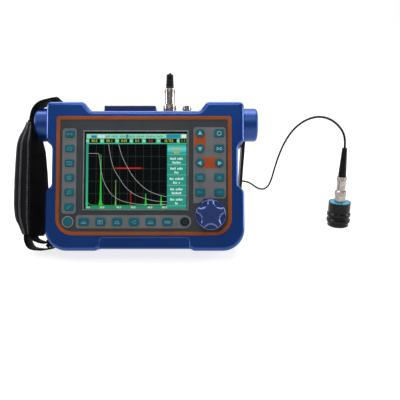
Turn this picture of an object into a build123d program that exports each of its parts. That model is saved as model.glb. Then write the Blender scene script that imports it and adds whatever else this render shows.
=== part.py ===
from build123d import *
import os
from math import cos, hypot, pi, radians, sin, tan

os.makedirs("parts", exist_ok=True)

# Ultrasonic flaw detector, a handheld instrument that stands leaning back on its feet and its bail.
# Millimetres, Z up, face towards -Y. On the face, x runs right, y runs up it and z runs out of it.

# Case
lean = 21.0  # degrees that the face leans back
body_width = 225.0  # over the four corner blocks
waist_width = 211.0
block_top = 85.5  # corner block tops, above the middle of the face
saddle_top = 75.0  # top edge between the blocks
body_bottom = -84.0
body_depth = 60.0
split_depth = 42.0  # depth of the front shell
gasket_thickness = 1.2
wall = 3.0
face_wall = 5.0
case_round = 4.5  # rounding of the outer edges, front and back
saddle_half = 62.0  # half width of the saddle, at its top edge
block_half = 70.0  # from the middle to where the top blocks are at full height
waist_top = 34.0
waist_foot = -10.0
waist_slope = 7.0  # height over which the waist widens into the blocks
rim_notch_half = 52.0  # half width of the shallow notch in the bottom edge
rim_notch = 2.0
rim_notch_run = 3.0
outline_round = 6.0
notch_round = 4.8
bottom_corner = 25.0
rest_start = 36.0  # depth at which the underside turns into the flat that it rests on
foot_height = 1.5

screw_thread = 3.0
screw_depth = 12.0  # of the thread in the front shell
screw_head = 5.6
screw_head_height = 2.0
screw_sunk = 0.6
boss_radius = 5.0
pivot_boss = 18.0
screw_gap = 0.3
screw_socket = 3.0
gasket_inset = 0.6
door_center = (0.0, 8.0)
door_width = 120.0
door_height = 72.0
door_thickness = 2.0
door_lip = 4.0
door_round = 4.0
door_slot = (26.0, 7.0)  # for a finger nail
door_slot_inset = 8.0
battery_thickness = 18.0
foot_spread = 70.0
foot_length = 40.0
foot_width = 12.0
rim_panel_width = 102.0
rim_panel_height = 15.5
rim_panel_depth = 0.9
rim_panel_round = 5.0
rim_panel_slope = 45.0  # degrees that its edges lean

# Face
trim_center = (-1.0, 0.85)
trim_width = 197.4
trim_height = 134.5
trim_band = 4.0
trim_top_round = 3.0
trim_bottom_round = 19.0
trim_proud = 0.5
trim_seat = 1.6
panel_seat = 2.2
panel_sunk = 0.2
panel_ledge = 2.0
surround_height = 0.5
seat_gap = 0.1  # between a piece let into another and its recess

# Display
bezel_center = (-10.1, 6.7)
bezel_width = 118.8
bezel_height = 90.4
bezel_band = 1.3
bezel_height_out = 0.5
window_sunk = 0.5
lcd_depth = 7.0
lcd_border = 2.0  # of the module past the window

# Keys
key_proud = 1.6
key_travel = 1.2
key_gap = 0.25
key_flange = 1.0  # how far the flange spreads, and its thickness
key_seat = 0.1  # between the flange and the panel
key_switch = 0.3  # left below the flange when the key is down
key_edge = 0.6
left_key = (10.6, 8.1)
row_key = (11.2, 8.7)
right_key = (11.0, 9.0)
round_key = 10.0
enter_key = 10.0
power_key = 9.7
key_round = 2.2
left_key_x = -84.6
left_key_top = 47.8
left_key_pitch = 16.5
left_key_count = 6
row_key_y = -51.3
row_key_left = -68.0
row_key_pitch = 18.74
row_key_count = 6
enter_key_x = -85.8
power_key_x = 45.1
right_key_columns = (62.3, 83.9)
right_key_rows = (48.7, 31.4, 15.0, -1.4, -18.3)

# Key surrounds
left_surround = (15.9, 96.6)
left_surround_center = (-84.95, 5.9)
enter_ring = 12.9
row_surround_left = -76.9
row_surround_height = 14.9
right_surround = (36.6, 80.8)
right_surround_center = (73.1, 15.0)
surround_round = 3.5
surround_tail = (11.0, 5.0)  # of the right block, beside the knob
surround_clear = 1.4  # round the knob

# Encoder
encoder_center = (74.1, -43.5)
knob_diameter = 34.0
knob_base = 3.6
knob_height = 12.0
knob_lift = 0.6  # clear of the panel
scallop_count = 5
scallop_radius = 8.5
scallop_reach = 18.5
knob_step = 0.8  # of the skirt past the crown
knob_round = 0.8
encoder_shaft = 6.0
encoder_bush = 9.0
encoder_body = 13.0
encoder_length = 8.0
shaft_gap = 0.05

# Boards
board_thickness = 1.6
board_gap = 0.5
main_board_depth = 30.0
main_board_size = (186.0, 104.0)
chip_height = 3.0
chip_width = 22.0
chip_pitch = (46.0, 40.0)
post_radius = 3.0
post_inset = 12.0  # from edge to edge of the board, twice the inset of a post

# Pivots and stand
pivot_height = 63.5  # above the middle of the face
pivot_depth = 28.0  # behind the face
hub_diameter = 39.0
hub_width = 16.6
hub_round = 3.5
side_gap = 0.4  # between the case's side and the stand
bar_thickness = 3.5
bar_width = 20.0
bar_bend = 12.0
stand_angle = 24.573  # degrees from upright at which it holds the instrument
bolt_shank = 8.0
bolt_head = 13.0
bolt_head_height = 3.0
bolt_grip = 14.0  # length of the shank inside the case
bolt_gap = 0.05
bolt_play = 0.3  # between the bolt's head and what turns round it

# Sockets and port cover on top
socket_depth = 24.0
socket_recess = 4.0  # from the saddle down to the floor that the sockets stand on
socket_room = (44.0, 22.0)  # length and width of the recess
socket_room_round = 4.0
plugged_socket_x = 26.5
free_socket_x = 46.7
socket_barrel = 9.6
socket_height = 13.8
socket_flange = 14.0
socket_flange_height = 2.0
socket_bore = 8.2
socket_tail = 9.0
socket_floor = 5.8
socket_pin = 1.4
socket_lug = 1.0
socket_lug_diameter = 2.0
socket_lug_drop = 2.6  # from the rim down to the middle of the lugs, and to the top of the pin
port_left = -48.4
port_right = 11.1
port_front = 12.0
port_back = 38.0
port_cover_height = 8.5
port_cover_wall = 2.0
cover_round = 1.5
port_well = 14.0
port_rim = 2.5  # of the case round the well, under the cover
port_gap = 0.3
port_block_depth = 11.0
port_slots = [(-17.0, 14.0, 6.0), (1.0, 9.0, 5.0)]  # place, length and width of each flat socket
port_jack_x = 18.0
port_jack = 8.0
port_lug = 3.0
port_play = 0.3  # beside and round the hinge lugs
hinge_pin = 2.4
hinge_barrel = 5.2
hinge_gap = 0.05

# Lead: a thin coaxial cable
lead_diameter = 2.8
collar_diameter = 14.4
collar_height = 13.0
plug_body = 11.8
plug_top = 34.8  # end of the metal above the socket's seat
upper_boot = (8.4, 5.8, 10.0)  # wide end, narrow end and length
lower_boot = (10.4, 6.4, 38.0)
upper_straight = 6.0  # of the lead out of each boot, before it bends
lower_straight = 12.0
plug_gap = 0.15
coil_turns = 8
coil_columns = 3
coil_layers = 3
coil_middle = 15.4  # radius at the middle of the turns
coil_center = (64.4, 275.0)  # from the floor under the middle of the face

# Probe
probe_place = (249.0, 90.0)
probe_height = 33.0
probe_foot_width = 26.4
probe_neck = 27.6
probe_head = 29.0
probe_ring = 31.0
probe_ring_lines = [(4.5, 6.2, 9.4, 11.0), (12.6, 14.4, 17.4, 19.2)]  # foot, edge, edge and top of each
probe_head_start = 20.4
probe_cap = 26.0
probe_cap_height = 1.0

# Hand strap
strap_depth = 26.0  # middle of the strap behind the face
strap_reach = 146.5  # from the middle of the face to the outside of the pad
webbing_width = 25.0
webbing_thickness = 2.0
webbing_double = 3.2  # two plies sewn together
webbing_bend = 6.0
pad_width = 60.0
anchor_bar = 4.0
anchor_window = 27.0
anchor_leg = 4.0
anchor_foot = 2.0
anchor_sunk = 1.0  # of the foot into the case's rounded edge
anchor_foot_round = 1.5
anchor_height = 4.5  # middle of the bar above the case
anchor_play = 0.2  # between the bar and the webbing round it
top_anchor_x = -105.0
low_anchor_turn = 130.0  # degrees from up to the way the lower anchor looks, round the corner

# The face plane, placed so that the flat under the case stands level on its feet
rise = cos(radians(lean))
back = sin(radians(lean))
face_height = foot_height - body_bottom * rise + rest_start * back
half_body = body_width / 2
hub_reach = half_body + side_gap + hub_width
pivot_z = face_height + pivot_height * rise - pivot_depth * back
pivot_y = pivot_height * back + pivot_depth * rise
stand_back = sin(radians(stand_angle))
stand_down = cos(radians(stand_angle))
stand_length = (pivot_z - bar_width / 2 * stand_back) / stand_down
stand_y = pivot_y + stand_length * stand_back + bar_width / 2 * stand_down
knob_y = (encoder_center[1] - knob_diameter / 2) * back - (knob_lift + knob_height - panel_sunk) * rise
shift_x = (strap_reach - hub_reach) / 2
shift_y = -(stand_y + knob_y) / 2

FACE = Plane(origin=(shift_x, shift_y, face_height), x_dir=(1, 0, 0), z_dir=(0, -rise, back))
UP = FACE.y_dir
OUT = FACE.z_dir


def on_face(x, y, depth):
    """A point of the instrument, right of, above and behind the middle of its face."""
    return FACE.from_local_coords(Vector(x, y, -depth))


def upward(x, y, depth):
    """A plane across the case that looks up the face."""
    return Plane(origin=on_face(x, y, depth), x_dir=(1, 0, 0), z_dir=UP)


def sideways(x, y, depth, side):
    """A plane along the case's side that looks outward, to the right for side 1 and left for -1."""
    return Plane(origin=on_face(x, y, depth), x_dir=(0, rise * side, -back * side), z_dir=(side, 0, 0))


def standing(x, y, z):
    """A point given from the floor under the middle of the face."""
    return Vector(x + shift_x, y + shift_y, z)


def save(piece, name):
    """Label a finished piece and write it to its own file."""
    piece.part.label = name
    export_step(piece.part, f"parts/{name}.step")


def case_outline():
    """Outline of the case: four corner blocks, a waist at each side and a saddle on top."""
    half_waist = waist_width / 2
    right = [
        (saddle_half, saddle_top, outline_round),
        (block_half, block_top, outline_round),
        (half_body, block_top, outline_round),
        (half_body, waist_top + waist_slope, outline_round),
        (half_waist, waist_top, outline_round),
        (half_waist, waist_foot, outline_round),
        (half_body, waist_foot - waist_slope, outline_round),
        (half_body, body_bottom, bottom_corner),
        (rim_notch_half + rim_notch_run, body_bottom, notch_round),
        (rim_notch_half, body_bottom + rim_notch, notch_round),
    ]
    corners = right + [(-x, y, r) for x, y, r in reversed(right)]
    with BuildLine() as line:
        FilletPolyline(*[(x, y) for x, y, r in corners], radius=[r for x, y, r in corners], close=True)
    with BuildSketch() as sketch:
        with BuildLine():
            add(line.line)
        make_face()
    return sketch.sketch


def trim_outline(shrink, top_round, bottom_round):
    """Outline of the trim frame, drawn in by shrink, with its own top and bottom corners."""
    half_width = trim_width / 2 - shrink
    half_height = trim_height / 2 - shrink
    x, y = trim_center
    points = [
        (x - half_width, y + half_height),
        (x + half_width, y + half_height),
        (x + half_width, y - half_height),
        (x - half_width, y - half_height),
    ]
    with BuildLine() as line:
        FilletPolyline(*points, radius=[top_round, top_round, bottom_round, bottom_round], close=True)
    with BuildSketch() as sketch:
        with BuildLine():
            add(line.line)
        make_face()
    return sketch.sketch


# Every key: its name, place on the face and size, a single number for a round one
keys = {}
for i in range(left_key_count):
    keys[f"key_left_{i + 1}"] = (left_key_x, left_key_top - i * left_key_pitch, left_key)
keys["key_enter"] = (enter_key_x, row_key_y, enter_key)
for i in range(row_key_count):
    keys[f"key_row_{i + 1}"] = (row_key_left + i * row_key_pitch, row_key_y, row_key)
keys["key_power"] = (power_key_x, row_key_y, power_key)
arrows = ("up", "ring", "down", "cross", "left", "right", "gain", "select", "back", "record")
round_names = ("up", "down", "left", "right")
for i, name in enumerate(arrows):
    size = round_key if name in round_names else right_key
    keys[f"key_{name}"] = (right_key_columns[i % 2], right_key_rows[i // 2], size)


def key_shape(size, grow):
    """Outline of a key, grown all round, about its own middle."""
    with BuildSketch() as sketch:
        if isinstance(size, tuple):
            RectangleRounded(size[0] + 2 * grow, size[1] + 2 * grow, key_round + grow)
        else:
            Circle(size / 2 + grow)
    return sketch.sketch


case = case_outline()
panel_edge = trim_outline(trim_band, 1.0, trim_bottom_round - trim_band)

# The whole case as one block, before it is parted into shells
with BuildPart() as case_block:
    with BuildSketch(FACE):
        add(case)
    extrude(amount=-body_depth)
    fillet(case_block.faces().sort_by(Axis(FACE.origin, OUT))[-1].outer_wire().edges(), case_round)
    fillet(case_block.faces().sort_by(Axis(FACE.origin, OUT))[0].outer_wire().edges(), case_round)
    split(bisect_by=Plane.XY.offset(foot_height), keep=Keep.TOP)

# The room inside the case, a wall in from its outline and from the flat underneath
with BuildPart() as case_room:
    with BuildSketch(FACE.offset(-face_wall)):
        add(case)
        offset(amount=-wall, mode=Mode.REPLACE)
    extrude(amount=face_wall + wall - body_depth)
    split(bisect_by=Plane.XY.offset(foot_height + wall), keep=Keep.TOP)

# Places of the six case screws, inside the outline
screw_places = [(-101, 76), (101, 76), (-98.5, 2), (98.5, 2), (-97, -69), (97, -69)]

# Front shell: moulded, with the seat for the trim and panel, bosses for screws and pivots
with BuildPart() as front_housing:
    add(case_block.part)
    split(bisect_by=FACE.offset(-split_depth), keep=Keep.TOP)
    add(case_room.part, mode=Mode.SUBTRACT)
    # Screw bosses down from the face wall
    with BuildSketch(FACE.offset(-face_wall)):
        with Locations(*screw_places):
            Circle(boss_radius)
    extrude(amount=face_wall - split_depth)
    # Pivot bosses in from both sides
    for side in (1, -1):
        with BuildSketch(sideways(side * (half_body - 2), pivot_height, pivot_depth, side)):
            Circle(pivot_boss / 2)
        extrude(amount=-bolt_grip)
    # Seats of the trim frame and panel, and the window behind the panel
    with BuildSketch(FACE):
        add(trim_outline(-seat_gap, trim_top_round + seat_gap, trim_bottom_round + seat_gap))
    extrude(amount=-trim_seat, mode=Mode.SUBTRACT)
    with BuildSketch(FACE):
        add(panel_edge)
    extrude(amount=-panel_seat, mode=Mode.SUBTRACT)
    with BuildSketch(FACE):
        add(trim_outline(trim_band + panel_ledge, 1.0, trim_bottom_round - trim_band - panel_ledge))
    extrude(amount=-face_wall, mode=Mode.SUBTRACT)
    # Shallow rounded panel in the lower rim
    with BuildSketch(FACE):
        with Locations((0, body_bottom)):
            RectangleRounded(rim_panel_width, 2 * rim_panel_height, rim_panel_round)
    extrude(amount=-rim_panel_depth, taper=rim_panel_slope, mode=Mode.SUBTRACT)
    # Recess that the sockets stand in, with a thicker wall round it
    socket_middle = (plugged_socket_x + free_socket_x) / 2
    with BuildSketch(upward(socket_middle, saddle_top - wall, socket_depth)):
        RectangleRounded(socket_room[0] + 2 * wall, socket_room[1] + 2 * wall, socket_room_round)
    extrude(amount=-socket_recess)
    with BuildSketch(upward(socket_middle, saddle_top, socket_depth)):
        RectangleRounded(socket_room[0], socket_room[1], socket_room_round)
    extrude(amount=-socket_recess, mode=Mode.SUBTRACT)
    # Port well and socket holes through the saddle
    with BuildSketch(upward(0, saddle_top, 0)):
        with Locations(((port_left + port_right) / 2, (port_front + port_back) / 2)):
            Rectangle(port_right - port_left - 2 * port_rim, port_back - port_front - 2 * port_rim)
    extrude(amount=-port_well, mode=Mode.SUBTRACT)
    for x in (plugged_socket_x, free_socket_x):
        with BuildSketch(upward(x, saddle_top - socket_recess, socket_depth)):
            Circle(socket_barrel / 2)
        extrude(amount=-2 * wall, mode=Mode.SUBTRACT)
    # Bores for the pivot bolts and pilot holes for the screws
    for side in (1, -1):
        with BuildSketch(sideways(side * half_body, pivot_height, pivot_depth, side)):
            Circle(bolt_shank / 2)
        extrude(amount=-bolt_grip, mode=Mode.SUBTRACT)
    with BuildSketch(FACE.offset(-split_depth)):
        with Locations(*screw_places):
            Circle(screw_thread / 2)
    extrude(amount=screw_depth, mode=Mode.SUBTRACT)
save(front_housing, "front_housing")

# Rear shell: moulded, with an opening for the battery, screw bosses and sunk holes for the screws
with BuildPart() as rear_housing:
    add(case_block.part)
    split(bisect_by=FACE.offset(-split_depth - gasket_thickness), keep=Keep.BOTTOM)
    add(case_room.part, mode=Mode.SUBTRACT)
    with BuildSketch(FACE.offset(-body_depth + wall)):
        with Locations(*screw_places):
            Circle(boss_radius)
    extrude(amount=body_depth - wall - split_depth - gasket_thickness)
    # Posts that carry the main board
    with BuildSketch(FACE.offset(-body_depth + wall)):
        with GridLocations(main_board_size[0] - post_inset, main_board_size[1] - post_inset, 2, 2):
            Circle(post_radius)
    extrude(amount=body_depth - wall - main_board_depth - board_thickness)
    with BuildSketch(FACE.offset(-body_depth)):
        with Locations(*screw_places):
            Circle(screw_head / 2 + screw_gap)
    extrude(amount=screw_sunk + screw_head_height, mode=Mode.SUBTRACT)
    with BuildSketch(FACE.offset(-body_depth)):
        with Locations(*screw_places):
            Circle(screw_thread / 2 + screw_gap)
    extrude(amount=body_depth - split_depth, mode=Mode.SUBTRACT)
    # Stepped opening of the battery compartment
    with BuildSketch(FACE.offset(-body_depth)):
        with Locations(door_center):
            RectangleRounded(door_width, door_height, door_round)
    extrude(amount=door_thickness, mode=Mode.SUBTRACT)
    with BuildSketch(FACE.offset(-body_depth)):
        with Locations(door_center):
            RectangleRounded(door_width - 2 * door_lip, door_height - 2 * door_lip, door_round - 1)
    extrude(amount=2 * wall, mode=Mode.SUBTRACT)
save(rear_housing, "rear_housing")

# Gasket: a rubber cord pressed between the two shells
with BuildPart() as housing_gasket:
    with BuildSketch(FACE.offset(-split_depth)):
        add(case)
        offset(amount=-gasket_inset, mode=Mode.REPLACE)
    extrude(amount=-gasket_thickness)
    split(bisect_by=Plane.XY.offset(foot_height + gasket_inset), keep=Keep.TOP)
    add(case_room.part, mode=Mode.SUBTRACT)
save(housing_gasket, "housing_gasket")

# Case screws, driven from the back through the rear shell into the front shell's bosses
screw_seat = body_depth - screw_sunk - screw_head_height
with BuildPart() as case_screws:
    with BuildSketch(FACE.offset(-screw_seat)):
        with Locations(*screw_places):
            Circle(screw_head / 2)
    extrude(amount=-screw_head_height)
    with BuildSketch(FACE.offset(-screw_seat)):
        with Locations(*screw_places):
            Circle(screw_thread / 2)
    extrude(amount=screw_seat - split_depth + screw_depth - 1)
    with BuildSketch(FACE.offset(-body_depth + screw_sunk)):
        with Locations(*screw_places):
            RegularPolygon(screw_socket / 2, 6)
    extrude(amount=screw_head_height / 2, mode=Mode.SUBTRACT)
save(case_screws, "case_screws")

# Battery door, flush with the back, and the battery pack behind it
with BuildPart() as battery_door:
    with BuildSketch(FACE.offset(-body_depth)):
        with Locations(door_center):
            RectangleRounded(door_width - 2 * seat_gap, door_height - 2 * seat_gap, door_round)
    extrude(amount=door_thickness)
    # Finger slot
    with BuildSketch(FACE.offset(-body_depth)):
        with Locations((door_center[0], door_center[1] + door_height / 2 - door_slot_inset)):
            SlotOverall(door_slot[0], door_slot[1])
    extrude(amount=door_thickness / 2, mode=Mode.SUBTRACT)
save(battery_door, "battery_door")

with BuildPart() as battery_pack:
    with BuildSketch(FACE.offset(-body_depth + door_thickness)):
        with Locations(door_center):
            RectangleRounded(door_width - 2 * door_lip - 1, door_height - 2 * door_lip - 1, door_round - 2)
    extrude(amount=battery_thickness)
save(battery_pack, "battery_pack")

# Rubber feet under the flat of the rear shell
foot_depth = (split_depth + gasket_thickness + body_depth) / 2
foot_drop = (foot_depth - rest_start) * tan(radians(lean))
with BuildPart() as rubber_feet:
    for side in (1, -1):
        with BuildSketch(Plane.XY):
            foot_y = (body_bottom + foot_drop) * back + foot_depth * rise
            with Locations((side * foot_spread + shift_x, foot_y + shift_y)):
                RectangleRounded(foot_length, foot_width, foot_width / 3)
        extrude(amount=foot_height)
save(rubber_feet, "rubber_feet")

# Trim frame round the face
with BuildPart() as trim_frame:
    with BuildSketch(FACE.offset(-trim_seat)):
        add(trim_outline(0, trim_top_round, trim_bottom_round))
        add(panel_edge, mode=Mode.SUBTRACT)
    extrude(amount=trim_seat + trim_proud)
    chamfer(trim_frame.faces().sort_by(Axis(FACE.origin, OUT))[-1].edges(), trim_proud / 2)
save(trim_frame, "trim_frame")

# Face panel, a plate with an opening for every key, the display and the encoder
with BuildPart() as face_panel:
    with BuildSketch(FACE.offset(-panel_seat)):
        add(trim_outline(trim_band + seat_gap, 1.0, trim_bottom_round - trim_band - seat_gap))
        with Locations(bezel_center):
            Rectangle(bezel_width - 2 * bezel_band, bezel_height - 2 * bezel_band, mode=Mode.SUBTRACT)
        with Locations(encoder_center):
            Circle(encoder_bush / 2, mode=Mode.SUBTRACT)
        for x, y, size in keys.values():
            with Locations((x, y)):
                add(key_shape(size, key_gap), mode=Mode.SUBTRACT)
    extrude(amount=panel_seat - panel_sunk)
save(face_panel, "face_panel")

# Light surrounds glued on the panel: left column, ring, bottom row and right block
with BuildPart() as key_surrounds:
    with BuildSketch(FACE.offset(-panel_sunk)):
        with Locations(left_surround_center):
            RectangleRounded(left_surround[0], left_surround[1], surround_round)
        with Locations((enter_key_x, row_key_y)):
            Circle(enter_ring / 2)
    extrude(amount=surround_height)
    with BuildSketch(FACE.offset(-panel_sunk)):
        row_length = power_key_x - row_surround_left
        with Locations((row_surround_left + row_length / 2, row_key_y)):
            RectangleRounded(row_length, row_surround_height, surround_round)
        with Locations((power_key_x - surround_round, row_key_y)):
            Rectangle(2 * surround_round, row_surround_height)
        with Locations((power_key_x, row_key_y)):
            Circle(row_surround_height / 2)
    extrude(amount=surround_height)
    with BuildSketch(FACE.offset(-panel_sunk)):
        with Locations(right_surround_center):
            RectangleRounded(right_surround[0], right_surround[1], surround_round)
        tail_x = right_surround_center[0] - right_surround[0] / 2 + surround_tail[0] / 2
        tail_y = right_surround_center[1] - right_surround[1] / 2 - surround_tail[1] / 2 + surround_round
        with Locations((tail_x, tail_y)):
            Rectangle(surround_tail[0], surround_tail[1] + 2 * surround_round)
        with Locations(encoder_center):
            Circle(knob_diameter / 2 + surround_clear, mode=Mode.SUBTRACT)
    extrude(amount=surround_height)
    for x, y, size in keys.values():
        with BuildSketch(FACE.offset(-panel_sunk)):
            with Locations((x, y)):
                add(key_shape(size, key_gap))
        extrude(amount=surround_height, mode=Mode.SUBTRACT)
save(key_surrounds, "key_surrounds")

# Bright frame of the display, its window and the module behind them
with BuildPart() as display_bezel:
    with BuildSketch(FACE.offset(-panel_sunk)):
        with Locations(bezel_center):
            Rectangle(bezel_width, bezel_height)
            Rectangle(bezel_width - 2 * bezel_band, bezel_height - 2 * bezel_band, mode=Mode.SUBTRACT)
    extrude(amount=bezel_height_out)
save(display_bezel, "display_bezel")

window_width = bezel_width - 2 * bezel_band - 2 * seat_gap
window_height = bezel_height - 2 * bezel_band - 2 * seat_gap
with BuildPart() as display_window:
    with BuildSketch(FACE.offset(-panel_seat)):
        with Locations(bezel_center):
            Rectangle(window_width, window_height)
    extrude(amount=panel_seat - window_sunk)
save(display_window, "display_window")

lcd_width = window_width + 2 * lcd_border
lcd_height = window_height + 2 * lcd_border
with BuildPart() as lcd_module:
    with BuildSketch(FACE.offset(-panel_seat)):
        with Locations(bezel_center):
            Rectangle(lcd_width, lcd_height)
    extrude(amount=-lcd_depth)
save(lcd_module, "lcd_module")

# Keypad board under the keys, cut out round the display module and the encoder
flange_back = panel_seat + key_seat + key_flange
board_front = flange_back + key_travel + key_switch
with BuildPart() as keypad_board:
    with BuildSketch(FACE.offset(-board_front)):
        inset = trim_band + panel_ledge + board_gap
        add(trim_outline(inset, 1.0, trim_bottom_round - inset))
        with Locations(bezel_center):
            Rectangle(lcd_width + 2 * board_gap, lcd_height + 2 * board_gap, mode=Mode.SUBTRACT)
        with Locations(encoder_center):
            Rectangle(encoder_body + 2 * board_gap, encoder_body + 2 * board_gap, mode=Mode.SUBTRACT)
    extrude(amount=-board_thickness)
save(keypad_board, "keypad_board")

# Main board across the case, with its largest parts
with BuildPart() as main_board:
    with BuildSketch(FACE.offset(-main_board_depth)):
        Rectangle(main_board_size[0], main_board_size[1])
    extrude(amount=-board_thickness)
    with BuildSketch(FACE.offset(-main_board_depth)):
        with GridLocations(chip_pitch[0], chip_pitch[1], 4, 2):
            Rectangle(chip_width, chip_width)
    extrude(amount=chip_height)
save(main_board, "main_board")

# Every key: a cap through the panel with a flange behind it
for name, (x, y, size) in keys.items():
    with BuildPart() as key:
        with BuildSketch(FACE.offset(-flange_back)):
            with Locations((x, y)):
                add(key_shape(size, 0))
        extrude(amount=flange_back - panel_sunk + key_proud)
        fillet(key.faces().sort_by(Axis(FACE.origin, OUT))[-1].edges(), key_edge)
        with BuildSketch(FACE.offset(-flange_back)):
            with Locations((x, y)):
                add(key_shape(size, key_flange))
        extrude(amount=key_flange)
    save(key, name)

# Encoder behind the panel, with its bush through it
with BuildPart() as encoder:
    with BuildSketch(FACE.offset(-panel_seat)):
        with Locations(encoder_center):
            Rectangle(encoder_body, encoder_body)
    extrude(amount=-encoder_length)
    with BuildSketch(FACE.offset(-panel_seat)):
        with Locations(encoder_center):
            Circle(encoder_bush / 2)
    extrude(amount=panel_seat - panel_sunk)
    with BuildSketch(FACE.offset(-panel_sunk)):
        with Locations(encoder_center):
            Circle(encoder_shaft / 2 + shaft_gap)
    extrude(amount=-encoder_length, mode=Mode.SUBTRACT)
save(encoder, "encoder")

# Encoder knob: a round skirt, a crown with five scallops and its shaft
with BuildPart() as encoder_knob:
    with BuildSketch(FACE.offset(knob_lift - panel_sunk)):
        with Locations(encoder_center):
            Circle(knob_diameter / 2)
    extrude(amount=knob_base)
    with BuildSketch(FACE.offset(knob_lift - panel_sunk)):
        with Locations(encoder_center):
            Circle(knob_diameter / 2 - knob_step)
            with PolarLocations(scallop_reach, scallop_count, start_angle=-90):
                Circle(scallop_radius, mode=Mode.SUBTRACT)
    extrude(amount=knob_height)
    fillet(encoder_knob.faces().sort_by(Axis(FACE.origin, OUT))[-1].edges(), knob_round)
    with BuildSketch(FACE.offset(knob_lift - panel_sunk)):
        with Locations(encoder_center):
            Circle(encoder_shaft / 2)
    extrude(amount=-encoder_length + 1)
save(encoder_knob, "encoder_knob")

# Sockets: the free one and the one that the lead is plugged into
def socket_shape():
    """A bayonet socket that looks up, from its thread below the panel to its rim, with two lugs."""
    barrel = socket_barrel / 2
    bore = socket_bore / 2
    profile = [
        (0, -socket_tail),
        (barrel, -socket_tail),
        (barrel, 0),
        (socket_flange / 2, 0),
        (socket_flange / 2, socket_flange_height),
        (barrel, socket_flange_height),
        (barrel, socket_height),
        (bore, socket_height),
        (bore, socket_floor),
        (socket_pin / 2, socket_floor),
        (socket_pin / 2, socket_height - socket_lug_drop),
        (0, socket_height - socket_lug_drop),
    ]
    with BuildPart() as piece:
        with BuildSketch(Plane.XZ):
            with BuildLine():
                Polyline(*profile, close=True)
            make_face()
        revolve(axis=Axis.Z)
        with BuildSketch(Plane.YZ.offset(-barrel - socket_lug)):
            with Locations((0, socket_height - socket_lug_drop)):
                Circle(socket_lug_diameter / 2)
        extrude(amount=socket_lug + (barrel - bore) / 2)
        with BuildSketch(Plane.YZ.offset(barrel + socket_lug)):
            with Locations((0, socket_height - socket_lug_drop)):
                Circle(socket_lug_diameter / 2)
        extrude(amount=-socket_lug - (barrel - bore) / 2)
    return piece.part


def plug_shape():
    """A bayonet plug pushed down on such a socket: its turning collar, body and inner sleeve."""
    low = socket_flange_height + plug_gap
    inside = socket_barrel / 2 + socket_lug + plug_gap
    sleeve = socket_bore / 2 - plug_gap
    roof = socket_height + 2 * plug_gap
    profile = [
        (inside, low),
        (collar_diameter / 2, low),
        (collar_diameter / 2, low + collar_height),
        (plug_body / 2, low + collar_height + 1),
        (plug_body / 2, plug_top),
        (0, plug_top),
        (0, roof),
        (socket_pin, roof),
        (socket_pin, socket_floor + plug_gap),
        (sleeve, socket_floor + plug_gap),
        (sleeve, roof),
        (inside, roof),
    ]
    with BuildPart() as piece:
        with BuildSketch(Plane.XZ):
            with BuildLine():
                Polyline(*profile, close=True)
            make_face()
        revolve(axis=Axis.Z)
    return piece.part


def boot_shape(wide, narrow, length):
    """A tapered rubber boot on the top of the plug."""
    with BuildPart() as piece:
        with BuildSketch(Plane.XY.offset(plug_top)):
            Circle(wide / 2)
        with BuildSketch(Plane.XY.offset(plug_top + length)):
            Circle(narrow / 2)
        loft()
    return piece.part


plugged_place = upward(plugged_socket_x, saddle_top - socket_recess, socket_depth)
free_place = upward(free_socket_x, saddle_top - socket_recess, socket_depth)
probe_top = Plane(origin=standing(probe_place[0], probe_place[1], probe_height))

with BuildPart() as bnc_sockets:
    with Locations(plugged_place, free_place):
        add(socket_shape())
save(bnc_sockets, "bnc_sockets")

# Port block in the well, with its sockets, under a hinged cover
port_middle = (port_left + port_right) / 2
port_length = port_right - port_left
well_length = port_length - 2 * port_rim
well_width = port_back - port_front - 2 * port_rim
with BuildPart() as port_block:
    with BuildSketch(upward(port_middle, saddle_top - wall / 2, (port_front + port_back) / 2)):
        Rectangle(well_length - 2 * seat_gap, well_width - 2 * seat_gap)
    extrude(amount=-port_block_depth)
    with BuildSketch(upward(port_middle, saddle_top - wall / 2, (port_front + port_back) / 2)):
        for x, length, width in port_slots:
            with Locations((x, 0)):
                Rectangle(length, width)
        with Locations((port_jack_x, 0)):
            Circle(port_jack / 2)
    extrude(amount=-port_block_depth / 2, mode=Mode.SUBTRACT)
save(port_block, "port_block")

# Port cover: a hollow lid whose barrel turns on a pin between two lugs on the saddle
barrel = hinge_barrel / 2
hinge_height = saddle_top + port_gap + barrel
hinge_depth = port_back - barrel
lug_x = port_length / 2 - port_cover_wall - port_play - port_lug / 2
lug_reach = hypot(barrel - port_play, hinge_height - saddle_top)  # from the pin to the corners of a lug's foot
hinge_start = sideways(port_left, hinge_height, hinge_depth, 1)
with BuildPart() as port_cover:
    with BuildSketch(upward(port_middle, saddle_top + port_gap, (port_front + port_back) / 2)):
        Rectangle(port_length, port_back - port_front)
    extrude(amount=port_cover_height - port_gap)
    fillet(port_cover.edges().filter_by(Axis.X).sort_by(Axis((0, 0, 0), UP + OUT))[0], barrel - 0.01)
    fillet(port_cover.faces().sort_by(Axis(FACE.origin, UP))[-1].edges(), cover_round)
    with BuildSketch(upward(port_middle, saddle_top + port_gap, (port_front + port_back) / 2)):
        Rectangle(port_length - 2 * port_cover_wall, port_back - port_front - 2 * port_cover_wall)
    extrude(amount=port_cover_height - port_gap - port_cover_wall, mode=Mode.SUBTRACT)
    with BuildSketch(hinge_start):
        Circle(barrel)
    extrude(amount=port_length)
    for side in (1, -1):
        low_end = port_middle + side * lug_x - port_lug / 2 - port_play
        with BuildSketch(sideways(low_end, hinge_height, hinge_depth, 1)):
            Circle(lug_reach + port_play)
        extrude(amount=port_lug + 2 * port_play, mode=Mode.SUBTRACT)
    with BuildSketch(hinge_start):
        Circle(hinge_pin / 2 + hinge_gap)
    extrude(amount=port_length, mode=Mode.SUBTRACT)
save(port_cover, "port_cover")

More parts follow.
